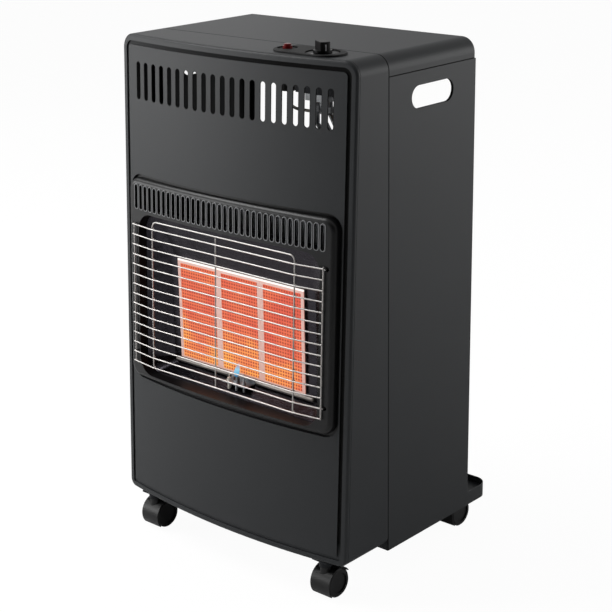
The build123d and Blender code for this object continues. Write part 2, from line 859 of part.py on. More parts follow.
# ---- gas valve: a body round a turning plug, outlets below, hose nozzle behind ----
valve_top = top_z - valve_drop
valve_low = valve_top - valve_height
cavity_low = valve_low + (valve_height - plug_height) / 3
cavity_radius = plug_radius + running_gap
outlet_xs = [knob_x - outlet_pitch, knob_x, knob_x + outlet_pitch]
nozzle_z = valve_low + nozzle_height
nozzle_y = controls_y + valve_depth / 2
with BuildPart() as gas_valve_body:
    with Locations((knob_x, controls_y, valve_low)):
        Box(valve_width, valve_depth, valve_height, align=(Align.CENTER, Align.CENTER, Align.MIN))
    chamfer(gas_valve_body.edges().filter_by(Axis.Z), sheet)
    with BuildSketch(Plane.XY.offset(valve_low)):
        with Locations(*[(x, controls_y) for x in outlet_xs]):
            Circle(outlet_radius)
    extrude(amount=-outlet_length)
    with BuildSketch(Plane.XY.offset(cavity_low - running_gap)):
        with Locations((knob_x, controls_y)):
            Circle(cavity_radius)
    extrude(amount=plug_height + 2 * running_gap, mode=Mode.SUBTRACT)
    with BuildSketch(Plane.XY.offset(valve_top)):
        with Locations((knob_x, controls_y)):
            Circle(spindle_radius + spindle_neck_gap)
    extrude(amount=-(valve_top - cavity_low - plug_height / 2), mode=Mode.SUBTRACT)
save(gas_valve_body.part, "gas_valve_body", "gas_valve_body")

plug_bore_low = cavity_low + plug_height / 3
with BuildPart() as valve_plug:
    with BuildSketch(Plane.XY.offset(cavity_low)):
        with Locations((knob_x, controls_y)):
            Circle(plug_radius)
    extrude(amount=plug_height)
    with BuildSketch(Plane.XY.offset(plug_bore_low)):
        with Locations((knob_x, controls_y)):
            Circle(spindle_radius + running_gap)
    extrude(amount=plug_height, mode=Mode.SUBTRACT)
save(valve_plug.part, "valve_plug", "valve_plug")

skirt_low = top_z - skirt_sink
skirt_top = skirt_low + skirt_thickness
grip_top = skirt_top + grip_height
spindle_low = plug_bore_low + knob_travel + sheet
spindle_top = grip_top - grip_foot
with BuildPart() as valve_spindle:
    with BuildSketch(Plane.XY.offset(spindle_low)):
        with Locations((knob_x, controls_y)):
            Circle(spindle_radius)
    extrude(amount=spindle_top - spindle_low)
save(valve_spindle.part, "valve_spindle", "valve_spindle")

with BuildPart() as control_knob:
    with BuildSketch(Plane.XY.offset(skirt_low)):
        with Locations((knob_x, controls_y)):
            Circle(skirt_radius)
    extrude(amount=skirt_thickness)
    chamfer(control_knob.edges().group_by(Axis.Z)[-1], skirt_thickness / 4)
    with BuildSketch(Plane.XY.offset(skirt_top)):
        with Locations((knob_x, controls_y)):
            Circle(grip_radius)
    extrude(amount=grip_foot)
    with BuildSketch(Plane.XY.offset(skirt_top)) as fin:
        with Locations((knob_x, controls_y)):
            Circle(grip_radius)
            Rectangle(
                grip_thickness, 3 * grip_radius, rotation=grip_angle, mode=Mode.INTERSECT
            )
    extrude(amount=grip_height)
    chamfer(control_knob.edges().group_by(Axis.Z)[-1], button_gap * 2)
    with BuildSketch(Plane.XY.offset(skirt_low)):
        with Locations((knob_x, controls_y)):
            Circle(spindle_radius + running_gap)
    extrude(amount=spindle_top + running_gap - skirt_low, mode=Mode.SUBTRACT)
save(control_knob.part, "control_knob", "control_knob")

line_foot = skirt_top + grip_foot
line_inner = grip_radius + running_gap
line_place = Location((knob_x, controls_y, 0), (0, 0, grip_angle))
with BuildPart() as knob_index:
    with BuildSketch(Plane.XY.offset(skirt_top)):
        with Locations((knob_x + index_offset[0], controls_y + index_offset[1])):
            Circle(index_radius)
    extrude(amount=line_proud)
    with BuildSketch(Plane.XY.offset(line_foot)):
        with Locations(line_place):
            Circle(line_inner + line_proud)
            Circle(line_inner, mode=Mode.SUBTRACT)
            with Locations((0, -grip_radius)):
                Rectangle(line_width, grip_radius, mode=Mode.INTERSECT)
    extrude(amount=grip_top - line_foot - 2 * line_width)
save(knob_index.part, "knob_index", "knob_index")

with BuildPart() as valve_bracket:
    bracket_back = controls_y - valve_depth / 2
    with Locations((knob_x, bracket_back, top_z - sheet)):
        Box(bracket_width, bracket_sheet, bracket_drop, align=(Align.CENTER, Align.MAX, Align.MAX))
        Box(
            bracket_width, bracket_foot + bracket_sheet, bracket_sheet,
            align=(Align.CENTER, Align.MAX, Align.MAX),
        )
    with BuildSketch(Plane.XY.offset(top_z - sheet)):
        with Locations((knob_x, controls_y)):
            Circle(knob_clearance)
    extrude(amount=-(top_z - skirt_low + knob_travel), mode=Mode.SUBTRACT)
save(valve_bracket.part, "valve_bracket", "valve_bracket")

with BuildPart() as gas_inlet_nozzle:
    with BuildSketch(Plane(origin=(knob_x, nozzle_y, nozzle_z), x_dir=(1, 0, 0), z_dir=(0, -1, 0))):
        RegularPolygon(nozzle_nut, 6)
    extrude(amount=-nozzle_nut)
    with BuildSketch(Plane.XZ.offset(-nozzle_y)):
        with Locations((knob_x, nozzle_z)):
            Circle(nozzle_radius)
    extrude(amount=-nozzle_length)
    chamfer(gas_inlet_nozzle.edges().group_by(Axis.Y)[-1], sheet)
save(gas_inlet_nozzle.part, "gas_inlet_nozzle", "gas_inlet_nozzle")

# ---- control plate, igniter and its button ----
with BuildPart() as control_plate:
    with BuildSketch(Plane.XY.offset(top_z)):
        with Locations((plate_middle, controls_y)):
            SlotOverall(plate_length, plate_width)
    extrude(amount=plate_thickness)
    fillet(control_plate.edges().group_by(Axis.Z)[-1], plate_round)
    with BuildSketch(Plane.XY.offset(top_z)):
        with Locations((knob_x, controls_y)):
            Circle(knob_opening)
        with Locations((button_x, controls_y)):
            Circle(button_opening)
    extrude(amount=plate_thickness, mode=Mode.SUBTRACT)
save(control_plate.part, "control_plate", "control_plate")

neck_top = top_z + igniter_neck_height
button_foot = top_z - button_depth
with BuildPart() as piezo_igniter:
    with Locations((button_x, controls_y, top_z)):
        Cylinder(igniter_radius, igniter_length, align=(Align.CENTER, Align.CENTER, Align.MAX))
        Cylinder(
            igniter_collar, igniter_collar_height, align=(Align.CENTER, Align.CENTER, Align.MIN)
        )
        Cylinder(igniter_neck, igniter_neck_height, align=(Align.CENTER, Align.CENTER, Align.MIN))
    with Locations((button_x, controls_y, top_z - sheet)):
        Cylinder(igniter_nut, igniter_nut_height, align=(Align.CENTER, Align.CENTER, Align.MAX))
    with Locations((button_x, controls_y, neck_top)):
        Cylinder(
            button_radius + button_gap, neck_top - button_foot + button_travel + sheet,
            align=(Align.CENTER, Align.CENTER, Align.MAX), mode=Mode.SUBTRACT,
        )
save(piezo_igniter.part, "piezo_igniter", "piezo_igniter")

with BuildPart() as ignition_button:
    with Locations((button_x, controls_y, button_foot)):
        Cylinder(
            button_radius, button_depth + button_proud, align=(Align.CENTER, Align.CENTER, Align.MIN)
        )
        Cylinder(
            button_cap_radius, button_depth + button_proud + button_cap_height,
            align=(Align.CENTER, Align.CENTER, Align.MIN),
        )
    fillet(ignition_button.edges().group_by(Axis.Z)[-1], button_cap_height / 3)
save(ignition_button.part, "ignition_button", "ignition_button")

# ---- gas tubes from the valve's outlets down and across to the injectors ----
outlet_end = valve_low - outlet_length - running_gap


def supply_tube(outlet_x, order, injector_x):
    """Down from an outlet, across to a column beside the burners, under them, and up."""
    column = first_column + order * tube_pitch
    run_z = shelf_top - injector_foot - order * tube_pitch
    turn_z = outlet_end - (3 - order) * supply_bend
    return bent_tube(
        [
            (outlet_x, tube_y, outlet_end),
            (outlet_x, tube_y, turn_z),
            (column, tube_y, turn_z - 3 * supply_bend),
            (column, tube_y, run_z),
            (injector_x, tube_y, run_z),
            (injector_x, tube_y, shelf_top - running_gap),
        ],
        supply_radius,
        supply_bend,
    )


with BuildPart() as supply_tube_right:
    add(supply_tube(outlet_xs[0], 0, plaque_pitch))
save(supply_tube_right.part, "supply_tube_right", "supply_tube_right")

with BuildPart() as supply_tube_middle:
    add(supply_tube(outlet_xs[1], 1, 0))
save(supply_tube_middle.part, "supply_tube_middle", "supply_tube_middle")

with BuildPart() as supply_tube_left:
    add(supply_tube(outlet_xs[2], 2, -plaque_pitch))
save(supply_tube_left.part, "supply_tube_left", "supply_tube_left")


# ---- pilot: a shelf in front of the burners with pilot burner, thermocouple and electrode ----
shelf_z = base_z + pilot_shelf
pilot_foot = shelf_z + pilot_sheet
tab_y = seam_y - reflector_depth
pilot_spots = [(pilot_spacing, pilot_y), (0, pilot_y), (-pilot_spacing, pilot_y)]
with BuildPart() as pilot_bracket:
    with Locations((0, tab_y, shelf_z)):
        Box(
            pilot_tab_width, pilot_depth - reflector_depth + pilot_reach, pilot_sheet,
            align=(Align.CENTER, Align.MAX, Align.MIN),
        )
        Box(
            pilot_tab_width, pilot_sheet, pilot_height,
            align=(Align.CENTER, Align.MAX, Align.MIN),
        )
    with BuildSketch(Plane.XY.offset(shelf_z)):
        with Locations(pilot_spots[0]):
            Circle(probe_radius + button_gap)
        with Locations(pilot_spots[1]):
            Circle(pilot_radius + button_gap)
        with Locations(pilot_spots[2]):
            Circle(electrode_radius + button_gap)
    extrude(amount=pilot_sheet, mode=Mode.SUBTRACT)
save(pilot_bracket.part, "pilot_bracket", "pilot_bracket")

with BuildPart() as pilot_burner:
    with Locations((0, pilot_y, pilot_foot)):
        Cylinder(pilot_body_radius, pilot_height, align=(Align.CENTER, Align.CENTER, Align.MIN))
    with Locations((0, pilot_y, pilot_foot + pilot_height)):
        Box(
            pilot_body_radius, 2 * pilot_body_radius, pilot_height / 2,
            align=(Align.CENTER, Align.CENTER, Align.MAX), mode=Mode.SUBTRACT,
        )
save(pilot_burner.part, "pilot_burner", "pilot_burner")

probe_foot = shelf_z - pilot_height
with BuildPart() as thermocouple:
    with Locations((pilot_spacing, pilot_y, probe_foot)):
        Cylinder(
            probe_radius, pilot_foot + probe_height - probe_foot,
            align=(Align.CENTER, Align.CENTER, Align.MIN),
        )
    chamfer(thermocouple.edges().group_by(Axis.Z)[-1], probe_radius / 2)
    with Locations((pilot_spacing, pilot_y, pilot_foot)):
        Cylinder(2 * probe_radius, probe_height / 4, align=(Align.CENTER, Align.CENTER, Align.MIN))
save(thermocouple.part, "thermocouple", "thermocouple")

with BuildPart() as ignition_electrode:
    with Locations((-pilot_spacing, pilot_y, probe_foot)):
        Cylinder(
            electrode_radius, pilot_foot + pilot_height / 2 - probe_foot,
            align=(Align.CENTER, Align.CENTER, Align.MIN),
        )
    with Locations((-pilot_spacing, pilot_y, pilot_foot)):
        Cylinder(
            electrode_radius + probe_radius / 2, probe_height / 8,
            align=(Align.CENTER, Align.CENTER, Align.MIN),
        )
    tip_z = pilot_foot + pilot_height
    with BuildLine() as tip_route:
        Polyline(
            (-pilot_spacing, pilot_y, pilot_foot), (-pilot_spacing, pilot_y, tip_z),
            (-pilot_spacing / 2, pilot_y, tip_z + pilot_height / 4),
        )
    with BuildSketch(Plane(origin=tip_route.line @ 0, z_dir=tip_route.line % 0)):
        Circle(electrode_wire)
    sweep(transition=Transition.RIGHT)
save(ignition_electrode.part, "ignition_electrode", "ignition_electrode")

valve_side = knob_x + valve_width / 2 + running_gap
lead_y = seam_y - lead_depth
lead_rise = shelf_z - lead_pitch


def lead_start(spot, foot, order):
    """Down from the pilot shelf, across under the window and up beside it."""
    column = first_lead + order * lead_pitch
    run_z = base_z + lead_low - order * lead_pitch
    return [
        (spot[0], spot[1], foot),
        (spot[0], spot[1], run_z),
        (column, pilot_y, run_z),
        (column, lead_y, lead_rise),
    ]


probe_z = nozzle_z + lead_depth / 10
with BuildPart() as thermocouple_lead:
    column_x = first_lead
    entry_y = controls_y - valve_depth / 4
    add(
        bent_tube(
            lead_start(pilot_spots[0], probe_foot - running_gap, 0)
            + [(column_x, lead_y, probe_z), (column_x, entry_y, probe_z), (valve_side, entry_y, probe_z)],
            probe_lead_radius,
            lead_bend,
        )
    )
save(thermocouple_lead.part, "thermocouple_lead", "thermocouple_lead")

pilot_z = nozzle_z - lead_depth / 8
with BuildPart() as pilot_tube:
    column_x = first_lead + lead_pitch
    add(
        bent_tube(
            lead_start(pilot_spots[1], pilot_foot - running_gap, 1)
            + [
                (column_x, lead_y, pilot_z), (column_x, controls_y, pilot_z),
                (valve_side, controls_y, pilot_z),
            ],
            pilot_radius,
            lead_bend,
        )
    )
save(pilot_tube.part, "pilot_tube", "pilot_tube")

spark_foot = top_z - igniter_length - running_gap
spark_z = spark_foot - 3 * tube_pitch
spark_y = controls_y + 2 * lead_pitch
with BuildPart() as igniter_lead:
    column_x = first_lead + 2 * lead_pitch
    add(
        bent_tube(
            lead_start(pilot_spots[2], probe_foot - running_gap, 2)
            + [
                (column_x, lead_y, spark_z), (column_x, spark_y, spark_z),
                (button_x, spark_y, spark_z), (button_x, controls_y, spark_z + tube_pitch),
                (button_x, controls_y, spark_foot),
            ],
            spark_lead_radius,
            lead_bend,
        )
    )
save(igniter_lead.part, "igniter_lead", "igniter_lead")

# ---- castors: sockets under the floor, hooded forks, twin wheels on an axle ----
front_swivel = seam_y - castor_front
rear_swivel = seam_y + castor_rear
castor_spots = {
    "front_left": (-castor_track, front_swivel),
    "front_right": (castor_track, front_swivel),
    "rear_left": (-castor_track, rear_swivel),
    "rear_right": (castor_track, rear_swivel),
}
socket_low = base_z - socket_sheet - socket_height
stem_top = base_z - socket_sheet / 2 - seat_gap
with BuildPart() as castor_sockets:
    with Locations(*[(x, y, base_z) for x, y in castor_spots.values()]):
        Box(
            socket_plate, socket_plate, socket_sheet,
            align=(Align.CENTER, Align.CENTER, Align.MAX),
        )
        Cylinder(
            socket_radius, socket_sheet + socket_height,
            align=(Align.CENTER, Align.CENTER, Align.MAX),
        )
    with Locations(*[(x, y, socket_low) for x, y in castor_spots.values()]):
        Cylinder(
            stem_radius + running_gap, base_z - socket_sheet / 2 - socket_low,
            align=(Align.CENTER, Align.CENTER, Align.MIN), mode=Mode.SUBTRACT,
        )
save(castor_sockets.part, "castor_sockets", "castor_sockets")

wheel_inside = castor_web / 2 + wheel_gap
wheel_outside = wheel_inside + wheel_width
hood_half = wheel_outside + castor_overhang
hood_inner = wheel_radius + castor_hood_gap
hood_outer = hood_inner + castor_hood_wall
wheel_centre = (castor_trail, wheel_radius)
axle_half = wheel_outside - 2 * wheel_dish_depth


def swept_sector(start, end, reach):
    """A wedge about the wheel's centre, between two angles."""
    corners = [wheel_centre]
    steps = 6
    for step in range(steps + 1):
        angle = math.radians(start + (end - start) * step / steps)
        corners.append(
            (wheel_centre[0] + reach * math.cos(angle), wheel_centre[1] + reach * math.sin(angle))
        )
    return corners


with BuildPart() as castor_hood:
    with Locations((0, 0, wheel_radius)):
        Cylinder(
            castor_boss, castor_boss_top - wheel_radius,
            align=(Align.CENTER, Align.CENTER, Align.MIN),
        )
    with BuildSketch(Plane.YZ):
        with Locations(wheel_centre):
            Circle(hood_inner)
    extrude(amount=2 * castor_boss, both=True, mode=Mode.SUBTRACT)
    with BuildSketch(Plane.YZ):
        with Locations(wheel_centre):
            Circle(hood_outer)
            Circle(hood_inner, mode=Mode.SUBTRACT)
        with BuildLine():
            Polyline(*swept_sector(hood_start, hood_end, 2 * hood_outer), close=True)
        make_face(mode=Mode.INTERSECT)
    extrude(amount=hood_half, both=True)
    with BuildSketch(Plane.YZ):
        with Locations(wheel_centre):
            Circle((hood_inner + hood_outer) / 2)
        with BuildLine():
            Polyline(*swept_sector(hood_start, hood_end, 2 * hood_outer), close=True)
        make_face(mode=Mode.INTERSECT)
        with Locations(wheel_centre):
            Circle(hood_inner / 2)
    extrude(amount=castor_web / 2, both=True)
    with BuildSketch(Plane.YZ):
        with Locations(wheel_centre):
            Circle(axle_radius + running_gap)
    extrude(amount=castor_web, both=True, mode=Mode.SUBTRACT)
    with Locations((0, 0, stem_top)):
        stem_length = stem_top - 2 * wheel_radius
        Cylinder(stem_radius, stem_length, align=(Align.CENTER, Align.CENTER, Align.MAX))

with BuildPart() as castor_wheel:
    with BuildSketch(Plane.YZ.offset(wheel_inside)):
        with Locations(wheel_centre):
            Circle(wheel_radius)
    extrude(amount=wheel_width)
    chamfer(castor_wheel.edges(), wheel_round)
    with BuildSketch(Plane.YZ.offset(wheel_outside)):
        with Locations(wheel_centre):
            Circle(wheel_dish)
    extrude(amount=-wheel_dish_depth, mode=Mode.SUBTRACT)
    with BuildSketch(Plane.YZ.offset(wheel_inside)):
        with Locations(wheel_centre):
            Circle(axle_radius + running_gap)
    extrude(amount=axle_half - wheel_inside + running_gap, mode=Mode.SUBTRACT)

with BuildPart() as castor_wheels:
    add(castor_wheel.part)
    add(mirror(castor_wheel.part, about=Plane.YZ))

with BuildPart() as castor_axle:
    with BuildSketch(Plane.YZ):
        with Locations(wheel_centre):
            Circle(axle_radius)
    extrude(amount=axle_half, both=True)

castor_pieces = {"hood": castor_hood, "wheels": castor_wheels, "axle": castor_axle}
for corner, spot in castor_spots.items():
    for kind, piece in castor_pieces.items():
        with BuildPart() as placed:
            with Locations((spot[0], spot[1], 0)):
                add(piece.part)
        name = "castor_" + kind + "_" + corner
        save(placed.part, name, name)
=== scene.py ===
# %% [markdown]
# # A portable gas cabinet heater
# The steel cabinet, its burner and its castors were built as solids first. This
# file dresses them: it gives each piece the finish that it has on a real heater, adds the
# small things that were left out of the solids, and sets up light and camera.

# %% Load the solids as a fixed frame
import math

import bmesh
import bpy
from mathutils import Matrix, Vector


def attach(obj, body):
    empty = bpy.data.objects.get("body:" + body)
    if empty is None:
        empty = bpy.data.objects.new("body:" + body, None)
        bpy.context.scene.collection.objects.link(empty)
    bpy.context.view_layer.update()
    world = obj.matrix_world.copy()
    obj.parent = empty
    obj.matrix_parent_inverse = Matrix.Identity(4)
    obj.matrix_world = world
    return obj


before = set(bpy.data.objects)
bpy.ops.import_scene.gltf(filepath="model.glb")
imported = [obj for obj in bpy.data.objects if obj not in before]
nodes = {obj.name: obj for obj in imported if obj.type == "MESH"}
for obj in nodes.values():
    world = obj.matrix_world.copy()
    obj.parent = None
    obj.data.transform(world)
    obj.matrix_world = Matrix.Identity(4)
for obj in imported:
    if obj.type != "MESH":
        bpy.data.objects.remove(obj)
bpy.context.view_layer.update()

# %% [markdown]
# The sizes that later pieces need are written once, in millimetres, as a maker would write
# them on a drawing. Depths are measured from the seam between the front and the rear half.
# Heights are above the floor, and the cabinet's bottom edge is at base_z. The front leans back
# by a small slope, and it has two rows of upright slots, whose middles are given above that
# edge: the vents near the top and the louvres over the burner.

# %% Sizes that the pieces share
MM = 0.001
seam_y = -64.8
base_z = 59.0
cabinet_height = 671.0
top_z = base_z + cabinet_height
half_width = 210.0
corner_radius = 20.0
lean = 31.5 / cabinet_height
vents = {"count": 21, "pitch": 17.3, "width": 8.0, "height": 51.0, "middle": 609.5}
louvre_row = 388.0 - 2 * 22.3
louvres = {"count": 35, "pitch": louvre_row / 34, "width": 6.0, "height": 34.0, "middle": 449.5}


def at(x, y, z):
    """A point in the frame, from millimetres."""
    return Vector((x, y, z)) * MM


print("cabinet from", base_z, "to", top_z, "mm above the floor")
print("front leans", round(math.degrees(math.atan(lean)), 1), "degrees")

# %% [markdown]
# Colours are picked as sRGB hex values, the way a paint chart gives them, but Blender mixes
# light in linear values, so one function turns one into the other, and a second makes a colour
# lighter or darker. One more adds a shader node with its settings and links, so that each
# material below reads as a short recipe. A noise texture's values crowd round a half, and the
# recipes stretch the part between two bounds.


# %% Colour and node helpers
noise_low, noise_high = 0.3, 0.7


def linear(hex_colour):
    """A linear RGBA value from an sRGB hex string."""
    channels = [int(hex_colour[i:i + 2], 16) / 255 for i in (1, 3, 5)]
    return [c / 12.92 if c <= 0.04045 else ((c + 0.055) / 1.055) ** 2.4
            for c in channels] + [1.0]


def shaded(hex_colour, share):
    """A linear RGBA value whose light is a share of the hex colour's."""
    return [min(c * share, 1.0) for c in linear(hex_colour)[:3]] + [1.0]


def add_node(tree, kind, settings=None, inputs=None, links=None):
    """One shader node, with its properties, its constant inputs and its incoming links."""
    made = tree.nodes.new(kind)
    for name, value in (settings or {}).items():
        setattr(made, name, value)
    for name, value in (inputs or {}).items():
        made.inputs[name].default_value = value
    for name, source in (links or {}).items():
        tree.links.new(source, made.inputs[name])
    return made


def new_material(name):
    """An empty material with its Principled shader and a source of Object coordinates."""
    material = bpy.data.materials.new(name)
    material.use_nodes = True
    tree = material.node_tree
    shader = tree.nodes["Principled BSDF"]
    place = add_node(tree, "ShaderNodeTexCoord").outputs["Object"]
    return material, tree, shader, place


print("powder grey is", [round(c, 3) for c in linear("#2b2d2f")])

# %% [markdown]
# A sheet of the cabinet is one mesh with one material, yet its two faces differ. The inner
# faces are made nearly black and dull as painted shade, for the dark inside of the box. The
# shader tells the faces apart by their place. Seen from the front, the cabinet is a rectangle
# with rounded corners. How far a point lies out in that outline says which side of the sheet it
# is on. The front rim of the wrapped sheet counts as outside.


# %% Place in the cabinet's outline
outer_skin = 0.5
rim_y = seam_y - 78.0
inner_shade_roughness = 0.95


def outline_reach(tree, parts):
    """How far out a point is in the rounded outline, whose edge is at the corner radius."""
    middle_z = (top_z + base_z) / 2
    squares = []
    for axis, middle, half in (("X", 0.0, half_width), ("Z", middle_z, cabinet_height / 2)):
        shifted = add_node(tree, "ShaderNodeMath", {"operation": "SUBTRACT"},
                           inputs={1: middle * MM}, links={0: parts.outputs[axis]})
        away = add_node(tree, "ShaderNodeMath", {"operation": "ABSOLUTE"},
                        links={0: shifted.outputs["Value"]})
        past = add_node(tree, "ShaderNodeMath", {"operation": "SUBTRACT"},
                        inputs={1: (half - corner_radius) * MM},
                        links={0: away.outputs["Value"]})
        run = add_node(tree, "ShaderNodeMath", {"operation": "MAXIMUM"}, inputs={1: 0.0},
                       links={0: past.outputs["Value"]}).outputs["Value"]
        squares.append(add_node(tree, "ShaderNodeMath", {"operation": "MULTIPLY"},
                                links={0: run, 1: run}).outputs["Value"])
    total = add_node(tree, "ShaderNodeMath", {"operation": "ADD"},
                     links={0: squares[0], 1: squares[1]})
    return add_node(tree, "ShaderNodeMath", {"operation": "SQRT"},
                    links={0: total.outputs["Value"]}).outputs["Value"]


def outside_of_sheet(tree, place):
    """One on the cabinet's outer faces and nought on its inner ones, from the place alone."""
    parts = add_node(tree, "ShaderNodeSeparateXYZ", links={"Vector": place})
    outer = add_node(tree, "ShaderNodeMath", {"operation": "GREATER_THAN"},
                     inputs={1: (corner_radius - outer_skin) * MM},
                     links={0: outline_reach(tree, parts)})
    front = add_node(tree, "ShaderNodeMath", {"operation": "LESS_THAN"},
                     inputs={1: rim_y * MM}, links={0: parts.outputs["Y"]})
    return add_node(tree, "ShaderNodeMath", {"operation": "MAXIMUM"},
                    links={0: outer.outputs["Value"], 1: front.outputs["Value"]}).outputs["Value"]


print("outer faces lie within", outer_skin, "mm of the outline or before y", round(rim_y, 1))

# %% [markdown]
# The sheet steel of such a cabinet is powder coated: dry polyester powder is sprayed on and
# baked. It flows into a satin skin with a faint orange peel, soft waves about a millimetre and
# a half across, and a finer grain. The waves show in the soft highlight along the bends. Noise
# in the bump makes both, and a second, slow noise keeps a large panel from looking printed.
# Enamel is built up in the same way, smoother and with longer waves.


# %% Powder coat
def coated_steel(name, colour, roughness, peel_mm, peel_depth_mm, grain_mm, inner_shade_colour=None):
    """Powder coat or enamel: one colour, satin sheen, orange peel, and inner faces in painted
    shade.
    """
    material, tree, shader, place = new_material(name)
    drift = add_node(tree, "ShaderNodeTexNoise", inputs={"Scale": 1 / (160 * MM), "Detail": 2.0},
                     links={"Vector": place})
    skin = add_node(tree, "ShaderNodeMix", {"data_type": "RGBA"},
                    inputs={6: shaded(colour, 0.93), 7: shaded(colour, 1.07)},
                    links={0: drift.outputs["Fac"]}).outputs[2]
    grain = add_node(tree, "ShaderNodeTexNoise",
                     inputs={"Scale": 1 / (grain_mm * MM), "Detail": 2.0},
                     links={"Vector": place})
    sheen = add_node(tree, "ShaderNodeMapRange",
                     inputs={"From Min": noise_low, "From Max": noise_high,
                             "To Min": roughness - 0.04, "To Max": roughness + 0.04},
                     links={"Value": grain.outputs["Fac"]}).outputs["Result"]
    # Inner faces get a near-black, dull colour as painted shade.
    if inner_shade_colour:
        outer = outside_of_sheet(tree, place)
        skin = add_node(tree, "ShaderNodeMix", {"data_type": "RGBA"},
                        inputs={6: linear(inner_shade_colour)}, links={0: outer, 7: skin}).outputs[2]
        sheen = add_node(tree, "ShaderNodeMix", inputs={"A": inner_shade_roughness},
                         links={"Factor": outer, "B": sheen}).outputs["Result"]
    tree.links.new(skin, shader.inputs["Base Color"])
    tree.links.new(sheen, shader.inputs["Roughness"])
    peel = add_node(tree, "ShaderNodeTexNoise",
                    inputs={"Scale": 1 / (peel_mm * MM), "Detail": 1.0},
                    links={"Vector": place})
    waves = add_node(tree, "ShaderNodeBump",
                     inputs={"Strength": 0.35, "Distance": peel_depth_mm * MM},
                     links={"Height": peel.outputs["Fac"]})
    fine = add_node(tree, "ShaderNodeBump", inputs={"Strength": 0.25, "Distance": 0.02 * MM},
                    links={"Height": grain.outputs["Fac"], "Normal": waves.outputs["Normal"]})
    tree.links.new(fine.outputs["Normal"], shader.inputs["Normal"])
    shader.inputs["IOR"].default_value = 1.5
    shader.inputs["Specular IOR Level"].default_value = 0.3
    return material


# Baked polyester powder: a soft, wide highlight with a slight ripple on a dark grey.
powder = {"roughness": 0.48, "peel_mm": 1.6, "peel_depth_mm": 0.05, "grain_mm": 0.35}
powder_coat = coated_steel("satin_powder_coat", "#2b2d2f", **powder)
print("coat of the tray:", powder_coat.name)

# %% [markdown]
# Some places are made nearly black and dull: the seams, which are dark joints, and, as
# painted shade, a pressed groove and the walls of slots. A place is a factor of one or nought,
# mostly from a Compare node, which gives one within a distance of a value. It mixes the
# near-black over a coat that is already finished.


# %% Dark joints and painted shade in a coat
# Near-black for dark joints and for painted shade.
joint_and_shade_black = "#030303"
joint_and_shade_roughness = 0.98


def darken_joint_or_shade(material, where):
    """Near-black and dull where a factor is one: a dark joint, or painted shade in a groove or
    slot.
    """
    tree = material.node_tree
    shader = tree.nodes["Principled BSDF"]
    coat = shader.inputs["Base Color"].links[0].from_socket
    sheen = shader.inputs["Roughness"].links[0].from_socket
    darkened = add_node(tree, "ShaderNodeMix", {"data_type": "RGBA"},
                    inputs={7: linear(joint_and_shade_black)}, links={0: where, 6: coat})
    tree.links.new(darkened.outputs[2], shader.inputs["Base Color"])
    dull = add_node(tree, "ShaderNodeMix", inputs={"B": joint_and_shade_roughness},
                    links={"Factor": where, "A": sheen})
    tree.links.new(dull.outputs["Result"], shader.inputs["Roughness"])


print("primer is", [round(c, 4) for c in linear(joint_and_shade_black)])

# %% [markdown]
# The vents and the louvres are rows of equal upright slots with round ends. Wrapping a place
# along the row puts every slot on top of the first one. The distance to that slot's middle
# line is then half the slot's width all along its edge, round ends and all.


# %% Distance from a row of slots
def slot_reach(tree, parts, count, pitch, width, height, middle):
    """How far a point is from the middle line of the nearest upright slot in a row."""
    wrapped = add_node(tree, "ShaderNodeMath", {"operation": "WRAP"},
                       inputs={1: pitch / 2 * MM, 2: -pitch / 2 * MM},
                       links={0: parts.outputs["X"]})
    level = add_node(tree, "ShaderNodeMath", {"operation": "SUBTRACT"},
                     inputs={1: (base_z + middle) * MM}, links={0: parts.outputs["Z"]})
    away = add_node(tree, "ShaderNodeMath", {"operation": "ABSOLUTE"},
                    links={0: level.outputs["Value"]})
    past = add_node(tree, "ShaderNodeMath", {"operation": "SUBTRACT"},
                    inputs={1: (height - width) / 2 * MM}, links={0: away.outputs["Value"]})
    end = add_node(tree, "ShaderNodeMath", {"operation": "MAXIMUM"}, inputs={1: 0.0},
                   links={0: past.outputs["Value"]})
    spot = add_node(tree, "ShaderNodeCombineXYZ",
                    links={"X": wrapped.outputs["Value"], "Y": end.outputs["Value"]})
    reach = add_node(tree, "ShaderNodeVectorMath", {"operation": "LENGTH"},
                     links={0: spot.outputs["Vector"]})
    aside = add_node(tree, "ShaderNodeMath", {"operation": "ABSOLUTE"},
                     links={0: parts.outputs["X"]})
    beyond = add_node(tree, "ShaderNodeMath", {"operation": "GREATER_THAN"},
                      inputs={1: count * pitch / 2 * MM}, links={0: aside.outputs["Value"]})
    return add_node(tree, "ShaderNodeMath", {"operation": "ADD"},
                    links={0: reach.outputs["Value"], 1: beyond.outputs["Value"]}).outputs["Value"]


print("row of vents:", round(vents["count"] * vents["pitch"], 1), "mm; louvres:",
      round(louvres["count"] * louvres["pitch"], 1), "mm")

# %% [markdown]
# A groove is pressed round the front panel near its edge. It is darkened as painted shade,
# least on the left and near the bottom edge, and most on the right and at the top. The walls
# of the punched vents are darkened as painted shade too.

# %% Coat of the front panel
groove_middle = 8.8
groove_half = 2.9
least_groove_shade = 0.35
vent_shade_margin = 0.5
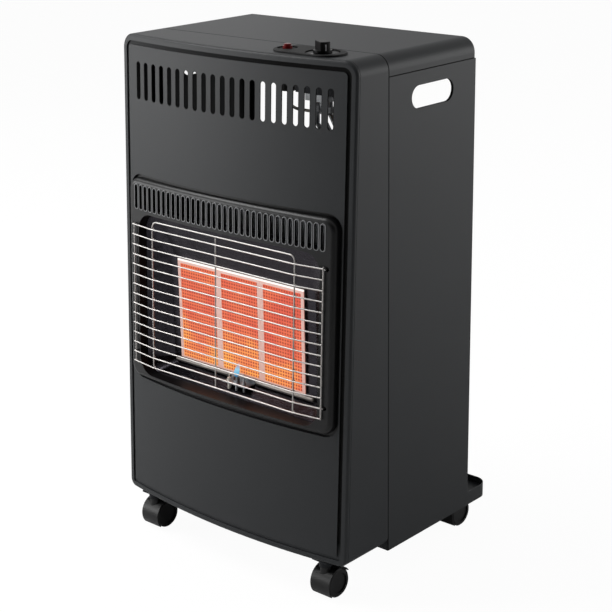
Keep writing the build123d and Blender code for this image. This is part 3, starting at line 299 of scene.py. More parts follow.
# The same powder, darker as painted shade, with painted shade in the groove and the vents.
panel_coat = coated_steel("satin_powder_coat_on_front", "#27292b", **powder)
tree = panel_coat.node_tree
place = add_node(tree, "ShaderNodeTexCoord").outputs["Object"]
parts = add_node(tree, "ShaderNodeSeparateXYZ", links={"Vector": place})
from_left = add_node(tree, "ShaderNodeMapRange",
                     inputs={"From Min": -200 * MM, "From Max": 100 * MM,
                             "To Min": least_groove_shade, "To Max": 1.0},
                     links={"Value": parts.outputs["X"]})
from_below = add_node(tree, "ShaderNodeMapRange",
                      inputs={"From Min": (base_z + 15) * MM, "From Max": (base_z + 35) * MM,
                              "To Min": 0.0, "To Max": 1.0},
                      links={"Value": parts.outputs["Z"]})
# Painted shade in the groove: weakest on the left and near the bottom edge.
groove_shade_share = add_node(tree, "ShaderNodeMath", {"operation": "MULTIPLY"},
                   links={0: from_left.outputs["Result"], 1: from_below.outputs["Result"]})
groove = add_node(tree, "ShaderNodeMath", {"operation": "COMPARE"},
                  inputs={1: groove_middle * MM, 2: groove_half * MM},
                  links={0: outline_reach(tree, parts)})
groove_painted_shade = add_node(tree, "ShaderNodeMath", {"operation": "MULTIPLY"},
                       links={0: groove.outputs["Value"], 1: groove_shade_share.outputs["Value"]})
darken_joint_or_shade(panel_coat, groove_painted_shade.outputs["Value"])
# Painted shade on the walls of the vents.
vent_painted_shade = add_node(tree, "ShaderNodeMath", {"operation": "COMPARE"},
                      inputs={1: 0.0, 2: (vents["width"] / 2 + vent_shade_margin) * MM},
                      links={0: slot_reach(tree, parts, **vents)})
darken_joint_or_shade(panel_coat, vent_painted_shade.outputs["Value"])
print("coat of the front:", panel_coat.name)

# %% [markdown]
# The housing, hood and side panels are folded from sheet and meet in seams: one all round
# between the two halves, and one on each side below the hood's edge. A seam shows as a thin
# black line, because it is a gap between two cut edges.

# %% Coat of the cabinet
seam_half = 0.9
hood_edge_z = top_z - 27
hood_edge_half = 0.7
# The same powder outside, painted shade on the inner faces, and dark seams.
cabinet_coat = coated_steel("satin_powder_coat_on_box", "#292b2d", inner_shade_colour="#121314",
                            **powder)
tree = cabinet_coat.node_tree
place = add_node(tree, "ShaderNodeTexCoord").outputs["Object"]
parts = add_node(tree, "ShaderNodeSeparateXYZ", links={"Vector": place})
behind = add_node(tree, "ShaderNodeMath", {"operation": "GREATER_THAN"},
                  inputs={1: seam_y * MM}, links={0: parts.outputs["Y"]})
edge_level = add_node(tree, "ShaderNodeMath", {"operation": "COMPARE"},
                      inputs={1: hood_edge_z * MM, 2: hood_edge_half * MM},
                      links={0: parts.outputs["Z"]})
hood_edge = add_node(tree, "ShaderNodeMath", {"operation": "MULTIPLY"},
                     links={0: edge_level.outputs["Value"], 1: behind.outputs["Value"]})
half_seam = add_node(tree, "ShaderNodeMath", {"operation": "COMPARE"},
                     inputs={1: seam_y * MM, 2: seam_half * MM}, links={0: parts.outputs["Y"]})
seams = add_node(tree, "ShaderNodeMath", {"operation": "MAXIMUM"},
                 links={0: half_seam.outputs["Value"], 1: hood_edge.outputs["Value"]})
darken_joint_or_shade(cabinet_coat, seams.outputs["Value"])
print("coat of the cabinet:", cabinet_coat.name)

# %% [markdown]
# The burner surround gets hot, so it has a silicone enamel that stands the heat. Its louvres
# are pressed outwards, and their raised rims get a painted highlight in light grey. The slots
# get painted shade. Both are found by the distance from the row of louvres.

# %% Enamel of the burner surround
rim_middle = louvres["width"] / 2 + 0.75
rim_half = 0.6
slot_half = louvres["width"] / 2 + 0.15
# Heat-resistant enamel: blacker, smoother and glossier than the powder coat.
heat_enamel = coated_steel("black_heat_enamel", "#151516", roughness=0.34, peel_mm=2.2,
                           peel_depth_mm=0.04, grain_mm=0.3)
tree = heat_enamel.node_tree
shader = tree.nodes["Principled BSDF"]
place = add_node(tree, "ShaderNodeTexCoord").outputs["Object"]
parts = add_node(tree, "ShaderNodeSeparateXYZ", links={"Vector": place})
louvre_reach = slot_reach(tree, parts, **louvres)
rims = add_node(tree, "ShaderNodeMath", {"operation": "COMPARE"},
                inputs={1: rim_middle * MM, 2: rim_half * MM}, links={0: louvre_reach})
# Painted highlight on the louvres' raised rims.
painted_rim_highlight = add_node(tree, "ShaderNodeMix", {"data_type": "RGBA"}, inputs={7: linear("#88898b")},
                  links={0: rims.outputs["Value"],
                         6: shader.inputs["Base Color"].links[0].from_socket})
tree.links.new(painted_rim_highlight.outputs[2], shader.inputs["Base Color"])
# Painted shade in the louvre slots.
slot_painted_shade = add_node(tree, "ShaderNodeMath", {"operation": "COMPARE"},
                 inputs={1: 0.0, 2: slot_half * MM}, links={0: louvre_reach})
darken_joint_or_shade(heat_enamel, slot_painted_shade.outputs["Value"])
print("enamel of the surround:", heat_enamel.name)

# %% [markdown]
# A metal's colour is in its reflection, so its base colour is high, unless heat or a coating
# has darkened it. The rest of its look comes from roughness and a small bump, and one fine
# noise drives both. Rolled or brushed steel has lines along one way, and drawn or turned
# pieces have streaks or rings, so the noise can be drawn out along an axis. Plastics use the
# same noise, without that.


# %% Grain and bare metal
metal_spread = 0.08


def grained(tree, shader, place, grain_mm, roughness, spread, depth_mm, detail=2.0):
    """A fine noise that breaks up a surface's roughness and gives it a shallow relief."""
    grain = add_node(tree, "ShaderNodeTexNoise",
                     inputs={"Scale": 1 / (grain_mm * MM), "Detail": detail},
                     links={"Vector": place})
    rough = add_node(tree, "ShaderNodeMapRange",
                     inputs={"From Min": noise_low, "From Max": noise_high,
                             "To Min": roughness - spread, "To Max": roughness + spread},
                     links={"Value": grain.outputs["Fac"]})
    tree.links.new(rough.outputs["Result"], shader.inputs["Roughness"])
    relief = add_node(tree, "ShaderNodeBump", inputs={"Strength": 0.3, "Distance": depth_mm * MM},
                      links={"Height": grain.outputs["Fac"]})
    tree.links.new(relief.outputs["Normal"], shader.inputs["Normal"])


def metal(name, colour, roughness, grain_mm, stretch=(1, 1, 1), depth_mm=0.01):
    """A bare metal whose grain is drawn out along the axes with a small scale."""
    material, tree, shader, place = new_material(name)
    shader.inputs["Base Color"].default_value = linear(colour)
    shader.inputs["Metallic"].default_value = 1.0
    drawn = add_node(tree, "ShaderNodeMapping", inputs={"Scale": stretch},
                     links={"Vector": place}).outputs["Vector"]
    grained(tree, shader, drawn, grain_mm, roughness, metal_spread, depth_mm, detail=3.0)
    return material


print("a metal's roughness varies by", metal_spread)

# %% [markdown]
# The guard is plated wire, the reflector is rolled sheet that the heat has darkened, the
# burners are aluminised sheet, and the valve is a die casting with turned brass fittings.
# Each line below gives a colour, a roughness and the width of the grain in millimetres.

# %% Metals of the burner, guard and valve
# Electroplated steel wire: even and bright, dulled a little by heat.
zinc_wire = metal("bright_zinc_wire", "#b6b3b0", 0.4, 1.2)
# Rolled sheet blued by heat: a dark mirror with lines across, which spreads the glow.
dark_steel = metal("heat_darkened_steel", "#37353a", 0.24, 1.5, stretch=(0.1, 1, 1))
# Zinc with a black chromate: a dull charcoal with a metal's faint glint.
black_zinc = metal("black_passivated_zinc", "#2c2d2f", 0.5, 1.5)
# A rolled bead brushed along its length: a soft bright band.
bead_steel = metal("brushed_bead_steel", "#86817d", 0.46, 0.8, stretch=(0.08, 1, 1),
                   depth_mm=0.02)
# Hot-dip aluminised sheet: a pale, silky grey.
burner_steel = metal("aluminised_burner_sheet", "#a5a3a0", 0.4, 2.0)
# Brass from the lathe: warm and fairly sharp, with fine rings.
turned_brass = metal("turned_brass", "#c9a24e", 0.28, 0.5, stretch=(1, 1, 4))
# Die casting: a matt grey with the pitted skin of its mould.
cast_alloy = metal("die_cast_alloy", "#a3a5a7", 0.5, 0.8, depth_mm=0.04)
# Drawn aluminium tube: light, with streaks along its length.
drawn_tube = metal("drawn_aluminium_tube", "#c3c5c8", 0.34, 0.6, stretch=(1, 1, 0.1))
# A thin copper sheath: brownish and softly bright.
copper_lead = metal("copper_capillary", "#b87852", 0.32, 0.6)
# Steel ground smooth or nickelled: a clean, small highlight.
ground_steel = metal("ground_steel", "#a9abae", 0.3, 0.4)
print("metals:", zinc_wire.name, dark_steel.name, turned_brass.name)

# %% [markdown]
# The heat shield and the small brackets are hot-dip galvanised. The zinc freezes in large flat
# crystals, a spangle about seven millimetres across, and each has its own shade and dullness.
# The cells of a Voronoi texture are such patches, and two of their random numbers serve as
# shade and dullness.

# %% Galvanised sheet
zinc_grey = "#a2a5a8"
crystal_mm = 7.0
dark_flake, light_flake = 0.82, 1.15
# Hot-dip zinc: a patchwork of light and dark flakes.
zinc_sheet = metal("hot_dip_zinc_sheet", zinc_grey, 0.45, 2.0)
tree = zinc_sheet.node_tree
shader = tree.nodes["Principled BSDF"]
place = add_node(tree, "ShaderNodeTexCoord").outputs["Object"]
cells = add_node(tree, "ShaderNodeTexVoronoi", inputs={"Scale": 1 / (crystal_mm * MM)},
                 links={"Vector": place})
pick = add_node(tree, "ShaderNodeSeparateColor", links={"Color": cells.outputs["Color"]})
flakes = add_node(tree, "ShaderNodeMix", {"data_type": "RGBA"},
                  inputs={6: shaded(zinc_grey, dark_flake), 7: shaded(zinc_grey, light_flake)},
                  links={0: pick.outputs["Red"]})
tree.links.new(flakes.outputs[2], shader.inputs["Base Color"])
dull = add_node(tree, "ShaderNodeMapRange",
                inputs={"From Min": 0.0, "From Max": 1.0, "To Min": 0.36, "To Max": 0.56},
                links={"Value": pick.outputs["Green"]})
tree.links.new(dull.outputs["Result"], shader.inputs["Roughness"])
print("galvanised:", zinc_sheet.name, "with crystals of", crystal_mm, "mm")

# %% [markdown]
# The knob, the button, the control plate and the castors are moulded plastics. ABS and
# polyamide come out of the mould with the mould's own texture, a spark-eroded grain of about
# a third of a millimetre, which breaks their highlight. The button is polished ABS, so it has
# a clear highlight and hardly any grain. Glazed ceramic and silicone rubber are made here too,
# because they differ only in their numbers.


# %% Moulded plastics, glaze and rubber
plastic_spread = 0.05


def moulded(name, colour, roughness, grain_mm, depth_mm, ior=1.5, gloss=0.5):
    """A plastic or glazed piece with the grain of its mould."""
    material, tree, shader, place = new_material(name)
    shader.inputs["Base Color"].default_value = linear(colour)
    shader.inputs["IOR"].default_value = ior
    shader.inputs["Specular IOR Level"].default_value = gloss
    grained(tree, shader, place, grain_mm, roughness, plastic_spread, depth_mm)
    return material


# Spark-eroded ABS: flat black, with no highlight to speak of.
black_abs = moulded("black_grained_abs", "#0c0c0d", 0.6, 0.35, 0.02, gloss=0.2)
# Satin ABS of the knob: a deeper black with a narrow sheen on its edges.
knob_abs = moulded("black_satin_knob_abs", "#040405", 0.38, 0.35, 0.01, gloss=0.18)
# Polished ABS of the button: a clear dark red.
red_abs = moulded("polished_red_abs", "#6e1215", 0.3, 0.6, 0.005, gloss=0.25)
# Filled marks on the knob: a pale, dull paint.
mark_paint = moulded("pale_filled_mark", "#a9a9ab", 0.45, 0.3, 0.01)
# Polyamide of the castors' hoods: black with a soft, slightly waxy sheen.
castor_nylon = moulded("black_nylon_hood", "#0b0b0c", 0.4, 0.5, 0.02, gloss=0.35)
# Polyamide of the wheels: blacker and duller, as it is worn on the floor.
wheel_nylon = moulded("black_wheel_nylon", "#060607", 0.45, 0.4, 0.02, gloss=0.35)
# Glazed porcelain of the electrode: cream, smooth and glossy.
glazed_ceramic = moulded("glazed_ceramic", "#e4e0d6", 0.2, 0.8, 0.01, ior=1.55)
# Silicone rubber of the spark lead: pale and matt.
silicone_sleeve = moulded("silicone_sleeve", "#b5b1a8", 0.6, 0.5, 0.02, ior=1.42)
print("plastics:", black_abs.name, red_abs.name)

# %% [markdown]
# A ceramic plaque is pierced by thousands of holes, and the gas burns just inside them. The
# holes are about 1.3 mm wide and two millimetres apart, which is too fine to show here, so
# they are drawn at more than twice their spacing. A Voronoi texture without randomness is a
# square lattice, and its distance, in shares of the spacing, gives round holes. It is drawn in
# two dimensions, so the place is first turned to look at the plaque's face.

# %% Pierced ceramic
hole_pitch_mm = 4.6
hole_edge, land_edge = 0.22, 0.40
# Pierced ceramic: a matt terracotta, with dark pits in rows.
plaque_glow, tree, shader, place = new_material("glowing_perforated_ceramic")
shader.inputs["Base Color"].default_value = linear("#5a2c20")
shader.inputs["Roughness"].default_value = 0.85
faced = add_node(tree, "ShaderNodeMapping", inputs={"Rotation": (math.radians(90), 0, 0)},
                 links={"Vector": place})
lattice = add_node(tree, "ShaderNodeTexVoronoi", {"voronoi_dimensions": "2D"},
                   inputs={"Scale": 1 / (hole_pitch_mm * MM), "Randomness": 0.0},
                   links={"Vector": faced.outputs["Vector"]})
land = add_node(tree, "ShaderNodeMapRange",
                inputs={"From Min": hole_edge, "From Max": land_edge,
                        "To Min": 0.0, "To Max": 1.0},
                links={"Value": lattice.outputs["Distance"]})
pits = add_node(tree, "ShaderNodeBump", inputs={"Strength": 0.6, "Distance": 0.5 * MM},
                links={"Height": land.outputs["Result"]})
tree.links.new(pits.outputs["Normal"], shader.inputs["Normal"])
print("ceramic:", plaque_glow.name, "with holes every", hole_pitch_mm, "mm")

# %% [markdown]
# Lit, the plaque's face glows orange-red, and yellower where it is hottest, low down. The
# right-hand plaque is a little cooler. A heat value adds a cloudy noise, a rise near the
# bottom and a fall to the right, and a ramp turns heat into colour. The lands between the
# holes give that light, and the holes stay darker.

# %% Glow of the ceramic
hot_low_z, hot_high_z = 278, 350
low_rise, right_fall = 0.36, -0.2
clouds = add_node(tree, "ShaderNodeTexNoise", inputs={"Scale": 1 / (45 * MM), "Detail": 2.0},
                  links={"Vector": place})
parts = add_node(tree, "ShaderNodeSeparateXYZ", links={"Vector": place})
low = add_node(tree, "ShaderNodeMapRange",
               inputs={"From Min": hot_low_z * MM, "From Max": hot_high_z * MM,
                       "To Min": low_rise, "To Max": 0.0},
               links={"Value": parts.outputs["Z"]})
cooler = add_node(tree, "ShaderNodeMapRange",
                  inputs={"From Min": 0.0, "From Max": 120 * MM,
                          "To Min": 0.0, "To Max": right_fall},
                  links={"Value": parts.outputs["X"]})
warm = add_node(tree, "ShaderNodeMath", {"operation": "ADD"},
                links={0: clouds.outputs["Fac"], 1: low.outputs["Result"]})
heat = add_node(tree, "ShaderNodeMath", {"operation": "ADD"},
                links={0: warm.outputs["Value"], 1: cooler.outputs["Result"]})
glow = add_node(tree, "ShaderNodeValToRGB", links={"Fac": heat.outputs["Value"]})
coolest, hottest = glow.color_ramp.elements
coolest.position, coolest.color = 0.35, linear("#dc5c46")
hottest.position, hottest.color = 0.95, linear("#ffb255")
glow.color_ramp.elements.new(0.6).color = linear("#ea7850")
pierced = add_node(tree, "ShaderNodeMix", {"data_type": "RGBA"}, inputs={6: linear("#a03a2c")},
                   links={0: land.outputs["Result"], 7: glow.outputs["Color"]})
tree.links.new(pierced.outputs[2], shader.inputs["Emission Color"])
shader.inputs["Emission Strength"].default_value = 1.0
print("yellowest at", hot_low_z, "mm, plain red above", hot_high_z, "mm")

# %% [markdown]
# Beside the glowing ceramic the thin steel frames look pale pink, and their top edge nearly
# white. That is painted light: a light emission on the front face alone, strongest on the top
# edge. The face is found by its depth and the top edge by its height, so the boxes behind stay
# plain sheet.

# %% Painted light on the frames
frame_front_y = seam_y - 60.9
frame_top_z = 421.0
face_painted_light, edge_painted_light = 0.42, 0.85
tree = burner_steel.node_tree
shader = tree.nodes["Principled BSDF"]
place = add_node(tree, "ShaderNodeTexCoord").outputs["Object"]
parts = add_node(tree, "ShaderNodeSeparateXYZ", links={"Vector": place})
facing = add_node(tree, "ShaderNodeMath", {"operation": "LESS_THAN"},
                  inputs={1: frame_front_y * MM}, links={0: parts.outputs["Y"]})
edge = add_node(tree, "ShaderNodeMapRange",
                inputs={"From Min": (frame_top_z - 1) * MM, "From Max": frame_top_z * MM,
                        "To Min": face_painted_light, "To Max": edge_painted_light},
                links={"Value": parts.outputs["Z"]})
# Painted light on the frames' front face, strongest at the top edge.
painted_frame_light = add_node(tree, "ShaderNodeMath", {"operation": "MULTIPLY"},
                  links={0: facing.outputs["Value"], 1: edge.outputs["Result"]})
above = add_node(tree, "ShaderNodeMath", {"operation": "GREATER_THAN"},
                 inputs={1: (frame_top_z - 0.5) * MM}, links={0: parts.outputs["Z"]})
hue = add_node(tree, "ShaderNodeMix", {"data_type": "RGBA"},
               inputs={6: linear("#ffae9a"), 7: linear("#fff4ee")},
               links={0: above.outputs["Value"]})
tree.links.new(hue.outputs[2], shader.inputs["Emission Color"])
tree.links.new(painted_frame_light.outputs["Value"], shader.inputs["Emission Strength"])
print("frames glow in front of y", round(frame_front_y, 1), "mm")

# %% [markdown]
# Each solid now gets its finish. The names say what a piece is, so a table of names is enough,
# and a solid keeps its own mesh: only its material slot changes.

# %% Give each solid its finish
# front_base and castor_sockets are galvanised, but take the black zinc as painted shade under the
# cabinet.
finishes = {
    "front_panel": panel_coat, "front_housing": cabinet_coat, "top_hood": cabinet_coat,
    "side_panel_left": cabinet_coat, "side_panel_right": cabinet_coat, "base_tray": powder_coat,
    "front_base": black_zinc, "heat_shield": zinc_sheet, "burner_surround": heat_enamel,
    "wire_guard": zinc_wire, "reflector": dark_steel, "injector_bracket": zinc_sheet,
    "injectors": turned_brass, "gas_valve_body": cast_alloy, "valve_plug": turned_brass,
    "valve_spindle": ground_steel, "control_knob": knob_abs, "knob_index": mark_paint,
    "valve_bracket": black_zinc, "gas_inlet_nozzle": turned_brass, "control_plate": black_abs,
    "piezo_igniter": black_abs, "ignition_button": red_abs, "pilot_bracket": zinc_sheet,
    "pilot_burner": ground_steel, "thermocouple": ground_steel,
    "ignition_electrode": glazed_ceramic, "thermocouple_lead": copper_lead,
    "pilot_tube": drawn_tube, "igniter_lead": silicone_sleeve, "castor_sockets": black_zinc,
}
families = {
    "burner_": burner_steel, "ceramic_plaque_": plaque_glow, "supply_tube_": drawn_tube,
    "castor_hood_": castor_nylon, "castor_wheels_": wheel_nylon, "castor_axle_": ground_steel,
}
for name, solid in nodes.items():
    finish = finishes.get(name)
    for start, family in families.items():
        if finish is None and name.startswith(start):
            finish = family
    solid.data.materials.clear()
    solid.data.materials.append(finish)
print("finished", len(nodes), "solids")

# %% [markdown]
# The solids leave out what a fitter adds last: screws, rivets, nuts and weld beads. One
# function spins an outline of radius and height into a round piece, as a lathe would. The
# other turns any such sketch into a finished object: it merges the points that the spin left
# on its axis, turns the faces outwards and hands the piece to the body that it rides on.


# %% Finished pieces and round ones
merge_reach = 0.02 * MM


def keep_piece(sketch, name, finish, body="cabinet", smooth=40):
    """A bmesh as a finished object that rides on a body, with its normals outwards."""
    bmesh.ops.remove_doubles(sketch, verts=sketch.verts, dist=merge_reach)
    bmesh.ops.recalc_face_normals(sketch, faces=sketch.faces)
    mesh = bpy.data.meshes.new(name)
    sketch.to_mesh(mesh)
    sketch.free()
    mesh.shade_smooth()
    mesh.set_sharp_from_angle(angle=math.radians(smooth))
    mesh.materials.append(finish)
    made = bpy.data.objects.new(name, mesh)
    bpy.context.scene.collection.objects.link(made)
    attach(made, body)
    print(name, "has", len(mesh.polygons), "faces")


def turned(outline, sides):
    """A piece of revolution about Z from (radius, height) points in millimetres."""
    sketch = bmesh.new()
    points = [sketch.verts.new(at(radius, 0, height)) for radius, height in outline]
    edges = [sketch.edges.new(pair) for pair in zip(points, points[1:])]
    bmesh.ops.spin(sketch, geom=points + edges, cent=(0, 0, 0), axis=(0, 0, 1),
                   angle=math.tau, steps=sides, use_merge=True)
    return sketch


print("points nearer than", round(merge_reach / MM, 2), "mm become one")

# %% [markdown]
# Fasteners are small and many, so each kind is modelled once, pointing up at the origin, and
# one function sets copies of it at a list of places, each turned to face outwards from its
# sheet. All copies of a kind are one piece.


# %% Copies at a list of places
def scatter(shape, places, name, finish, smooth=40):
    """Copies of one small shape, each at its own place and facing its own way."""
    pattern = bpy.data.meshes.new("pattern")
    bmesh.ops.remove_doubles(shape, verts=shape.verts, dist=merge_reach)
    shape.to_mesh(pattern)
    shape.free()
    sketch = bmesh.new()
    for place, facing in places:
        before = len(sketch.verts)
        sketch.from_mesh(pattern)
        sketch.verts.ensure_lookup_table()
        turn = Vector(facing).to_track_quat("Z", "Y").to_matrix().to_4x4()
        bmesh.ops.transform(sketch, matrix=Matrix.Translation(place) @ turn,
                            verts=sketch.verts[before:])
    bpy.data.meshes.remove(pattern)
    keep_piece(sketch, name, finish, smooth=smooth)


backwards = (0, 1, 0)
upwards = (0, 0, 1)
print("fasteners face", backwards, "or", upwards)

# %% [markdown]
# Screw heads and nuts are hexagons. A cone with six sides and equal ends is one, and its end
# edges are then bevelled: rounded over where the head is pressed from wire, and with one flat
# chamfer where a nut is cut on a lathe.


# %% Hexagons
def add_hexagon(sketch, radius, low, high, rims_above, offset, segments):
    """A hexagonal bar from low to high, its end edges above a height bevelled, in mm."""
    bar = bmesh.ops.create_cone(sketch, cap_ends=True, segments=6, radius1=radius * MM,
                                radius2=radius * MM, depth=(high - low) * MM,
                                matrix=Matrix.Translation(at(0, 0, (low + high) / 2)))
    ends = {vert for vert in bar["verts"] if vert.co.z > rims_above * MM}
    rims = [edge for edge in sketch.edges if ends.issuperset(edge.verts)
            and abs(edge.verts[0].co.z - edge.verts[1].co.z) < 0.1 * MM]
    bmesh.ops.bevel(sketch, geom=rims, offset=offset * MM, segments=segments, profile=0.5,
                    affect="EDGES", material=-1)
    print("hexagon of radius", radius, "mm with", len(rims), "bevelled edges")


# %% [markdown]
# Sheet-metal screws with a washer under a hexagonal head hold the heat shield and the seam
# flanges. The head is pressed from wire, so the hexagon's top edges are rounded over, and the
# washer is spun with a slightly dished top.

# %% Screws in the bay
washer = [(0, -0.2), (4.6, -0.2), (4.6, 0.4), (4.1, 0.9), (3.4, 1.0), (0, 1.0)]
screw = turned(washer, sides=24)
add_hexagon(screw, radius=3.5, low=0.6, high=4.0, rims_above=3.5, offset=0.6, segments=3)
flange_x, flange_y, flange_heights = 199, seam_y + 1.6, (100, 380, 640)
shield_x, shield_y, shield_heights = 186, seam_y - 1.3, (135, 370, 590)
seam_screws = [(at(side * flange_x, flange_y, z), backwards)
               for side in (-1, 1) for z in flange_heights]
shield_screws = [(at(side * shield_x, shield_y, z), backwards)
                 for side in (-1, 1) for z in shield_heights]
scatter(screw, seam_screws + shield_screws, "bay_screws", ground_steel, smooth=30)

# %% [markdown]
# Each rear castor's socket is riveted through the tray. The closed heads of blind rivets are
# low domes, and a short arc spun round gives one.

# %% Rivets on the tray
dome = [(0, 1.3), (0.9, 1.22), (1.7, 0.95), (2.3, 0.55), (2.7, 0.0), (2.7, -0.2), (0, -0.2)]
socket_x, socket_y = 167, seam_y + 199
rivet_reach = 9
tray_top = base_z + 1.2
rivet_places = [(at(side * socket_x + dx, socket_y + dy, tray_top), upwards)
                for side in (-1, 1)
                for dx in (-rivet_reach, rivet_reach) for dy in (-rivet_reach, rivet_reach)]
scatter(turned(dome, sides=20), rivet_places, "tray_rivets", drawn_tube)

# %% [markdown]
# Thin gas tubes end in a nickelled union nut on the valve and under each injector. The nut is
# cut from hexagon bar, nine millimetres across its flats, and chamfered at both ends on a
# lathe, with a short collar where the tube goes in. Its flats face sideways, because the
# valve's outlets are only ten millimetres apart.

# %% Union nuts
collar = [(3.2, -1.6), (3.9, -1.6), (4.2, -1.2), (4.2, 0.2), (3.2, 0.2), (3.2, -1.6)]
nut = turned(collar, sides=24)
add_hexagon(nut, radius=5.15, low=0.0, high=9.0, rims_above=-1.0, offset=0.7, segments=1)
tube_y = seam_y - 38
outlets_x, outlet_z = (125, 135, 145), base_z + 597
injectors_x, injector_z = (-78.6, 0, 78.6), base_z + 81
nut_places = [(at(x, tube_y, outlet_z), upwards) for x in outlets_x]
nut_places += [(at(x, tube_y, injector_z), upwards) for x in injectors_x]
scatter(nut, nut_places, "union_nuts", ground_steel, smooth=20)

# %% [markdown]
# Where the guard's wires cross they are spot-welded: the current melts a small bead between
# them. A low icosphere, squashed along the depth, fills the notch between two wires. The guard
# leans with the front and bows across its width, so a bead's depth follows from its height and
# from the radius of that bow.

# %% Spot welds on the guard
weld_radius = 1.25
weld_squash = 0.75
weld_bead = bmesh.new()
bmesh.ops.create_icosphere(weld_bead, subdivisions=2, radius=weld_radius * MM,
                           matrix=Matrix.Diagonal((1.0, 1.0, weld_squash, 1.0)))
rung_count = 15
rung_step = 14.357
rung_low = base_z + 209.5
uprights_x = (-175, -132, -9.5, 132, 175)
weld_y = seam_y - 104.8
guard_radius = 2539.0
weld_places = []
for row in range(rung_count):
    z = rung_low + row * rung_step
    for x in uprights_x:
        y = weld_y + lean * (z - rung_low) + x ** 2 / (2 * guard_radius)
        weld_places.append((at(x, y, z), backwards))
scatter(weld_bead, weld_places, "guard_welds", zinc_wire)

# %% [markdown]
# Under the burners the reflector's lower edge is stiffened by a rounded bead on each side of
# the pilot. It is worn bright and mirrors the glow as a soft band. A slim rod with rounded
# ends, half sunk in the sheet, gives that band.

# %% Bead of the reflector
bead_length = 108.0
bead_end = [(0, 0), (2.0, 0.5), (3.1, 1.8), (3.5, 3.6)]
bead_outline = bead_end + [(radius, bead_length - rise) for radius, rise in reversed(bead_end)]
bead_x = 24
bead_y = seam_y - 58.8
bead_z = base_z + 211.5
bead_places = [(at(side * bead_x, bead_y, bead_z), (side, 0, 0)) for side in (1, -1)]
scatter(turned(bead_outline, sides=24), bead_places, "reflector_beads", bead_steel)

# %% [markdown]
# The pilot is lit. Its flame is a small blue tongue, pale where the gas burns, and it turns
# pink in front of the plaques. A flame has no surface to light, so its colour is an emission
# that follows the height, and the rest of the shader is dark and dull.

# %% Colour of the flame
flame_height = 19.0
flame_foot = base_z + 218.0
# Burning gas: a light of its own, blue at the foot and pink at the tip.
flame_blue, tree, shader, place = new_material("blue_gas_flame")
parts = add_node(tree, "ShaderNodeSeparateXYZ", links={"Vector": place})
rise = add_node(tree, "ShaderNodeMapRange",
                inputs={"From Min": flame_foot * MM, "From Max": (flame_foot + flame_height) * MM,
                        "To Min": 0.0, "To Max": 1.0},
                links={"Value": parts.outputs["Z"]})
tongue = add_node(tree, "ShaderNodeValToRGB", links={"Fac": rise.outputs["Result"]})
tongue.color_ramp.elements[0].color = linear("#2f6f9f")
tongue.color_ramp.elements[1].color = linear("#e8a093")
for position, colour in ((0.3, "#6fc4ea"), (0.55, "#a6dcf2"), (0.8, "#b9a6c0")):
    tongue.color_ramp.elements.new(position).color = linear(colour)
tree.links.new(tongue.outputs["Color"], shader.inputs["Emission Color"])
shader.inputs["Emission Strength"].default_value = 0.9
shader.inputs["Base Color"].default_value = linear("#101418")
shader.inputs["Roughness"].default_value = 0.9
shader.inputs["Specular IOR Level"].default_value = 0.0
print("flame from", flame_foot, "to", flame_foot + flame_height, "mm")

# %% [markdown]
# The draught draws the flame back to the plaques. It is a spun drop, bent by moving each ring
# of points back with the square of its height, so its foot stays upright on the pilot.

# %% Pilot flame
flame_y = seam_y - 72.0
flame_bend = 7.0
flame_outline = [(0, 0), (2.2, 0.3), (3.3, 2.0), (3.9, 4.5), (3.8, 8.0), (2.9, 12.0),
                 (1.6, 15.5), (0.7, 17.6), (0, flame_height)]
drop = turned(flame_outline, sides=20)
for vert in drop.verts:
    vert.co.y += flame_bend * MM * (vert.co.z / (flame_height * MM)) ** 2
bmesh.ops.translate(drop, verts=drop.verts, vec=at(0, flame_y, flame_foot))
keep_piece(drop, "pilot_flame", flame_blue, smooth=60)

# %% [markdown]
# The heater stands on a plain pale floor, as in a catalogue. The floor is white paint that
# takes a soft shadow, and for the camera it is lifted towards pure white by asking what kind
# of ray sees it. A function collects such kinds of rays, because the room needs them as well.


# %% Floor
def seen_by(tree, ray_kinds):
    """One where a ray of any of these kinds looks, and nought elsewhere."""
    rays = add_node(tree, "ShaderNodeLightPath")
    total = rays.outputs[ray_kinds[0]]
    for kind in ray_kinds[1:]:
        total = add_node(tree, "ShaderNodeMath", {"operation": "MAXIMUM"},
                         links={0: total, 1: rays.outputs[kind]}).outputs["Value"]
    return total


floor_reach = 40.0
floor_mesh = bpy.data.meshes.new("floor")
sketch = bmesh.new()
bmesh.ops.create_grid(sketch, x_segments=1, y_segments=1, size=floor_reach)
sketch.to_mesh(floor_mesh)
sketch.free()
floor = bpy.data.objects.new("floor", floor_mesh)
bpy.context.scene.collection.objects.link(floor)

lifted_share = 0.92
lifted_strength = 1.04
# Matt floor paint: a plain white that shows only the heater's soft shadow.
floor_paint, tree, shader, place = new_material("matt_white_floor_paint")
shader.inputs["Base Color"].default_value = linear("#f4f4f4")
shader.inputs["Roughness"].default_value = 0.8
white = add_node(tree, "ShaderNodeEmission",
                 inputs={"Color": (1, 1, 1, 1), "Strength": lifted_strength})
share = add_node(tree, "ShaderNodeMath", {"operation": "MULTIPLY"}, inputs={1: lifted_share},
                 links={0: seen_by(tree, ["Is Camera Ray"])})
blend = add_node(tree, "ShaderNodeMixShader",
                 links={0: share.outputs["Value"], 1: shader.outputs["BSDF"],
                        2: white.outputs["Emission"]})
tree.links.new(blend.outputs["Shader"], tree.nodes["Material Output"].inputs["Surface"])
floor_mesh.materials.append(floor_paint)
print("floor is", 2 * floor_reach, "m wide")

# %% [markdown]
# The room is even and white too: pure white for the camera and dimmer as a source of light.
# The steel reflects that white, but not on the camera's side. A dark screen there draws the
# rolled edges that face it as black lines, and lets the bowed front fall off to the right. The
# screen is a direction in the world, which only reflections see: it begins where the cosine
# of the angle to its middle is at its rim, and at its core it takes away the room's light.

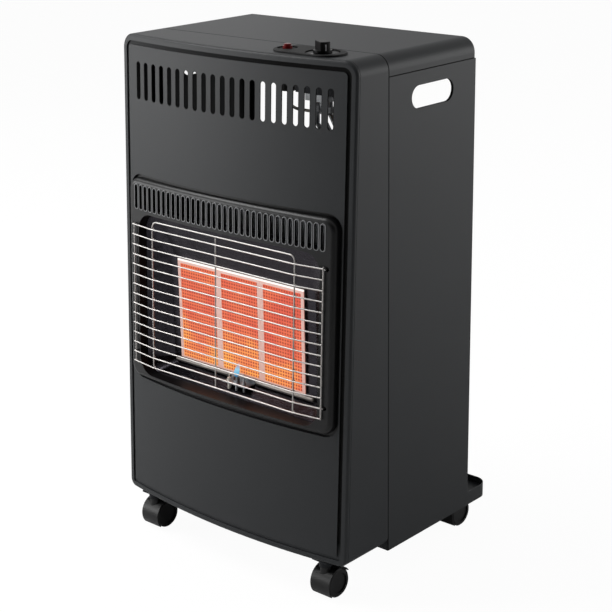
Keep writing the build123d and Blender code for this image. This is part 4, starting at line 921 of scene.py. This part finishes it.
# %% Room
room_light = 0.2
mirrored_white = 0.36
screen_rim, screen_core = 0.35, 0.85
screen_angle = math.radians(28)
screen_middle = (math.sin(screen_angle), -math.cos(screen_angle), 0)
room = bpy.data.worlds.new("white_room")
bpy.context.scene.world = room
room.use_nodes = True
tree = room.node_tree
direct = add_node(tree, "ShaderNodeMapRange",
                  inputs={"From Min": 0.0, "From Max": 1.0, "To Min": room_light, "To Max": 1.0},
                  links={"Value": seen_by(tree, ["Is Camera Ray", "Is Transmission Ray"])})
way = add_node(tree, "ShaderNodeTexCoord").outputs["Generated"]
towards = add_node(tree, "ShaderNodeVectorMath", {"operation": "DOT_PRODUCT"},
                   inputs={1: screen_middle}, links={0: way})
mirrored_light = add_node(tree, "ShaderNodeMapRange", {"interpolation_type": "SMOOTHSTEP"},
                          inputs={"From Min": screen_rim, "From Max": screen_core,
                                  "To Min": mirrored_white, "To Max": -room_light},
                          links={"Value": towards.outputs["Value"]})
level = add_node(tree, "ShaderNodeMath", {"operation": "MULTIPLY_ADD"},
                 links={0: seen_by(tree, ["Is Glossy Ray"]),
                        1: mirrored_light.outputs["Result"], 2: direct.outputs["Result"]})
back = tree.nodes["Background"]
back.inputs["Color"].default_value = (1, 1, 1, 1)
tree.links.new(level.outputs["Value"], back.inputs["Strength"])
print("dark screen towards", [round(c, 2) for c in screen_middle])

# %% [markdown]
# Four soft boxes light it: a wide one overhead, which makes the top and the upper part of the
# front the brightest, one in front on the left, one behind on the right for the side, and a
# weak one behind on the left, which puts a soft sheen on the left of the top. Their size is
# what makes the bends' highlights long and soft.


# %% Soft boxes
def soft_box(name, place, aim, width, height, power):
    """A rectangular lamp at a place, turned towards an aim point: metres and watts."""
    lamp = bpy.data.lights.new(name, "AREA")
    lamp.shape = "RECTANGLE"
    lamp.size = width
    lamp.size_y = height
    lamp.energy = power
    holder = bpy.data.objects.new(name, lamp)
    bpy.context.scene.collection.objects.link(holder)
    holder.location = place
    holder.rotation_euler = (Vector(aim) - Vector(place)).to_track_quat("-Z", "Y").to_euler()


soft_box("overhead", place=(-1.45, -0.85, 2.3), aim=(0, -0.1, 0.6),
         width=1.5, height=0.9, power=34)
soft_box("front_left", place=(-2.5, -1.9, 0.85), aim=(0, -0.1, 0.75),
         width=2.2, height=1.2, power=44)
soft_box("rear_right", place=(2.0, 2.4, 0.9), aim=(0.2, 0, 0.5),
         width=2.0, height=1.4, power=30)
soft_box("rear_left", place=(-2.6, 1.9, 1.5), aim=(0, 0, 0.5),
         width=1.4, height=1.2, power=2.5)

# %% [markdown]
# The camera stands a little above the heater's top, on its right, with a long lens. Its place
# and angles come from lines that are straight on the real heater. It rolls by about one
# degree, so its right and up are turned about its line of sight.

# %% Camera
azimuth = math.radians(41.624)
elevation = math.radians(18.384)
roll = -0.0162
camera_place = at(1388.0, -1487.3 + seam_y, 976.6 + base_z)
forward = Vector((-math.sin(azimuth) * math.cos(elevation),
                  math.cos(azimuth) * math.cos(elevation), -math.sin(elevation)))
right = forward.cross(Vector((0, 0, 1))).normalized()
up = right.cross(forward)
rolled_right = math.cos(roll) * right + math.sin(roll) * up
rolled_up = -math.sin(roll) * right + math.cos(roll) * up
lens = bpy.data.cameras.new("camera")
lens.sensor_width = 36.0
lens.lens = 90.35
camera = bpy.data.objects.new("camera", lens)
bpy.context.scene.collection.objects.link(camera)
turn = Matrix((rolled_right, rolled_up, -forward)).transposed().to_4x4()
camera.matrix_world = Matrix.Translation(camera_place) @ turn
bpy.context.scene.camera = camera
bpy.context.scene.view_settings.view_transform = "Standard"
print("camera at", [round(c, 3) for c in camera_place])
